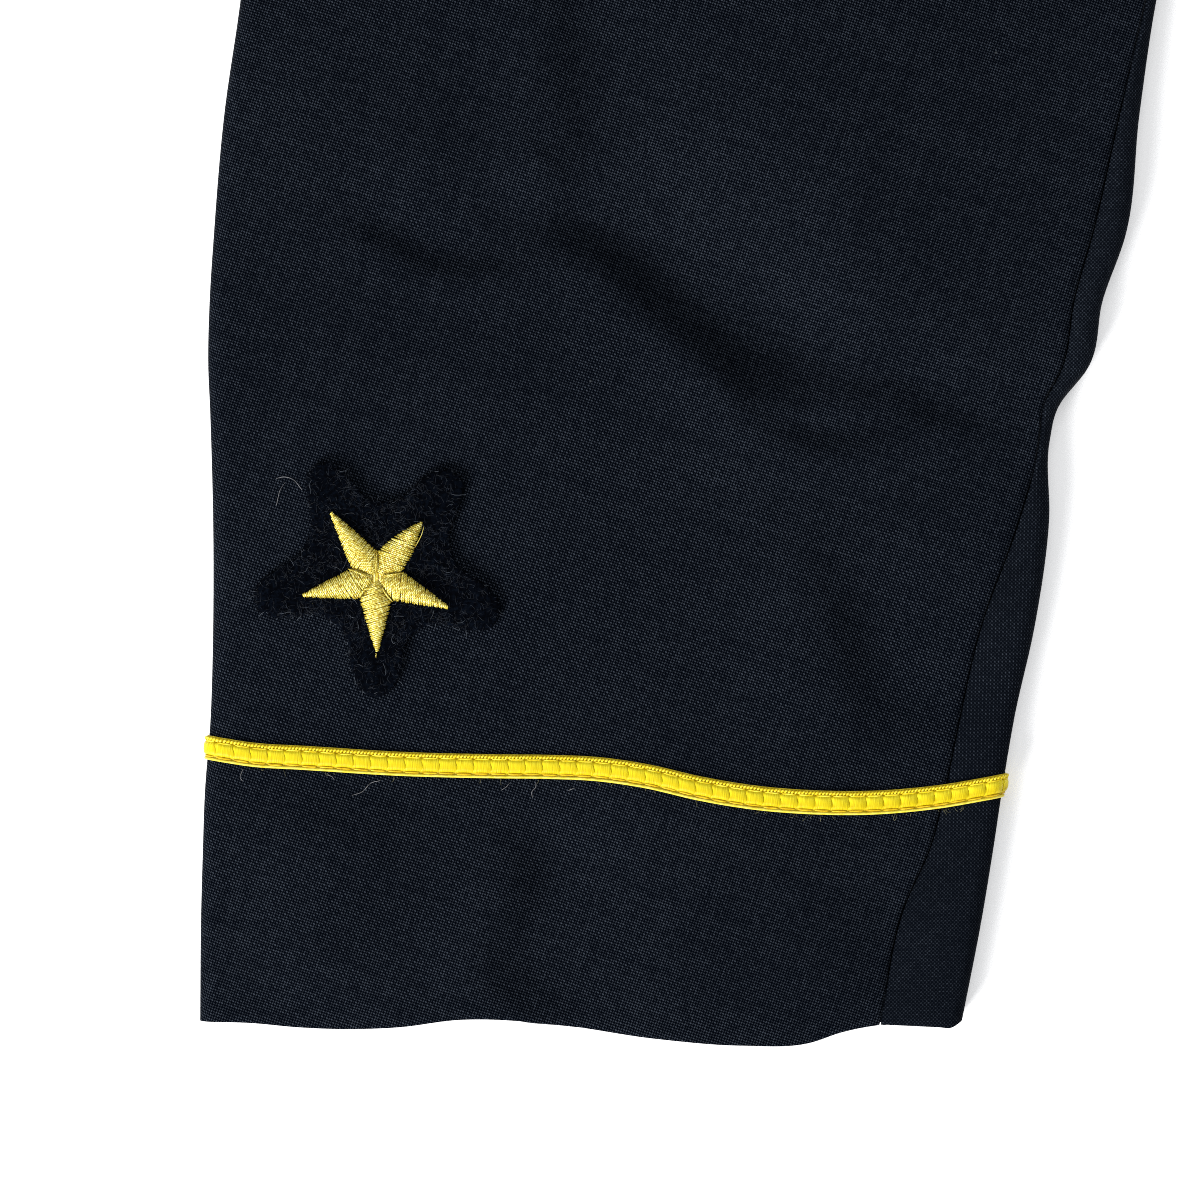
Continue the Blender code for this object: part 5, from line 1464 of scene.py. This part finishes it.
def makeButton():
    # at the origin, with its back on z = 0
    radius = button["radius"] * mm
    deselectAll()
    bpy.ops.mesh.primitive_cylinder_add(vertices=64, radius=radius, depth=button["rim"] * mm,
                                        location=(0, 0, button["rim"] / 2 * mm))
    piece = bpy.context.object
    bpy.ops.object.transform_apply(location=True, rotation=False, scale=False)
    for face in piece.data.polygons:
        face.select = face.normal.z > 0.9
    bpy.ops.object.mode_set(mode="EDIT")
    bpy.ops.mesh.select_mode(type="FACE")
    bpy.ops.mesh.bevel(offset=0.35 * mm, segments=3, affect="EDGES")
    stopEditing()
    top = max(piece.data.polygons, key=lambda face: face.center.z + face.area)
    pick(piece)
    for face in piece.data.polygons:
        face.select = face.index == top.index
    bpy.ops.object.mode_set(mode="EDIT")
    bpy.ops.mesh.inset(thickness=0.35 * mm)
    bpy.ops.mesh.inset(thickness=0.15 * mm)
    bpy.ops.transform.translate(value=(0, 0, -button["groove"] * mm))
    bpy.ops.mesh.inset(thickness=0.2 * mm)
    size = radius - 1.05 * mm
    before, low = 1.0, 0.0
    for angle in np.linspace(0.0, math.pi / 2, 13)[1:-1]:
        share, high = math.cos(angle), button["dome"] * math.sin(angle) * mm
        bpy.ops.mesh.extrude_region_move(TRANSFORM_OT_translate={"value": (0, 0, high - low)})
        bpy.ops.transform.resize(value=(share / before, share / before, 1.0))
        before, low = share, high
    bpy.ops.mesh.poke()
    stopEditing()
    points = pointsOf(piece)
    highest = points[:, 2].argmax()
    points[highest, 2] += 0.02 * size
    setPoints(piece, points)
    return piece


pattern = makeButton()
for side in sides:
    for number in (1, 2, 3):
        node = f"button_{side}_{number}"
        low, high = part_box(node)
        piece = addObject(node + "_dressed", pattern.data.copy())
        points = pointsOf(piece) + ((low.x + high.x) / 2, (low.y + high.y) / 2, low.z)
        setPoints(piece, points)
        piece.data.materials.append(gilt)
        shadeRound(piece, 40)
        finishPiece(piece, node)
bpy.data.objects.remove(pattern)


# The camera and the light

print("camera and light")
view = dict(middleX=-420.1, middleY=-129.1, width=211.3, sleeveTop=7.5, away=800.0, sensor=36.0)


def addCamera():
    data = bpy.data.cameras.new("camera")
    data.sensor_width = view["sensor"]
    data.lens = view["sensor"] * view["away"] / view["width"]
    data.clip_start, data.clip_end = 0.01, 100.0
    camera = addObject("camera", data)
    camera.location = (view["middleX"] * mm, draftLine + view["middleY"] * mm,
                       (view["sleeveTop"] + view["away"]) * mm)
    bpy.context.scene.camera = camera


def addLight(name, away, size, power):
    # a square soft light, away from the cuff by that many metres, turned to it
    data = bpy.data.lights.new(name, "AREA")
    data.size = size
    data.energy = power
    lamp = addObject(name, data)
    target = Vector((view["middleX"] * mm, draftLine + view["middleY"] * mm, 0.0))
    lamp.location = target + Vector(away)
    lamp.rotation_euler = (-Vector(away)).to_track_quat("-Z", "Y").to_euler()


def addFloor():
    deselectAll()
    bpy.ops.mesh.primitive_plane_add(size=12.0, location=(0.0, 0.0, -0.0005))
    floor = bpy.context.object
    floor.name = "floor"
    # its own faint light keeps the jacket's shadow pale
    made = newMaterial("pale floor", (0.88, 0.88, 0.88), 0.9, Specular_IOR_Level=0.1,
                       Emission_Color=(1.0, 1.0, 1.0, 1.0), Emission_Strength=0.2)[0]
    floor.data.materials.append(made)


def lightRoom():
    world = bpy.data.worlds.new("room")
    bpy.context.scene.world = world
    world.use_nodes = True
    sky = world.node_tree.nodes["Background"]
    sky.inputs["Color"].default_value = (0.95, 0.97, 1.0, 1.0)
    sky.inputs["Strength"].default_value = 0.44
    addLight("window", (-1.25, -1.45, 1.0), 0.9, 102.0)
    addLight("ceiling", (0.5, 0.7, 2.2), 2.4, 26.0)


addCamera()
addFloor()
lightRoom()
bpy.context.scene.view_settings.view_transform = "Standard"
bpy.context.scene.cycles.use_denoising = False  # it would smear the weave, which is 2 pixels fine
bpy.context.scene.cycles.filter_width = 1.0
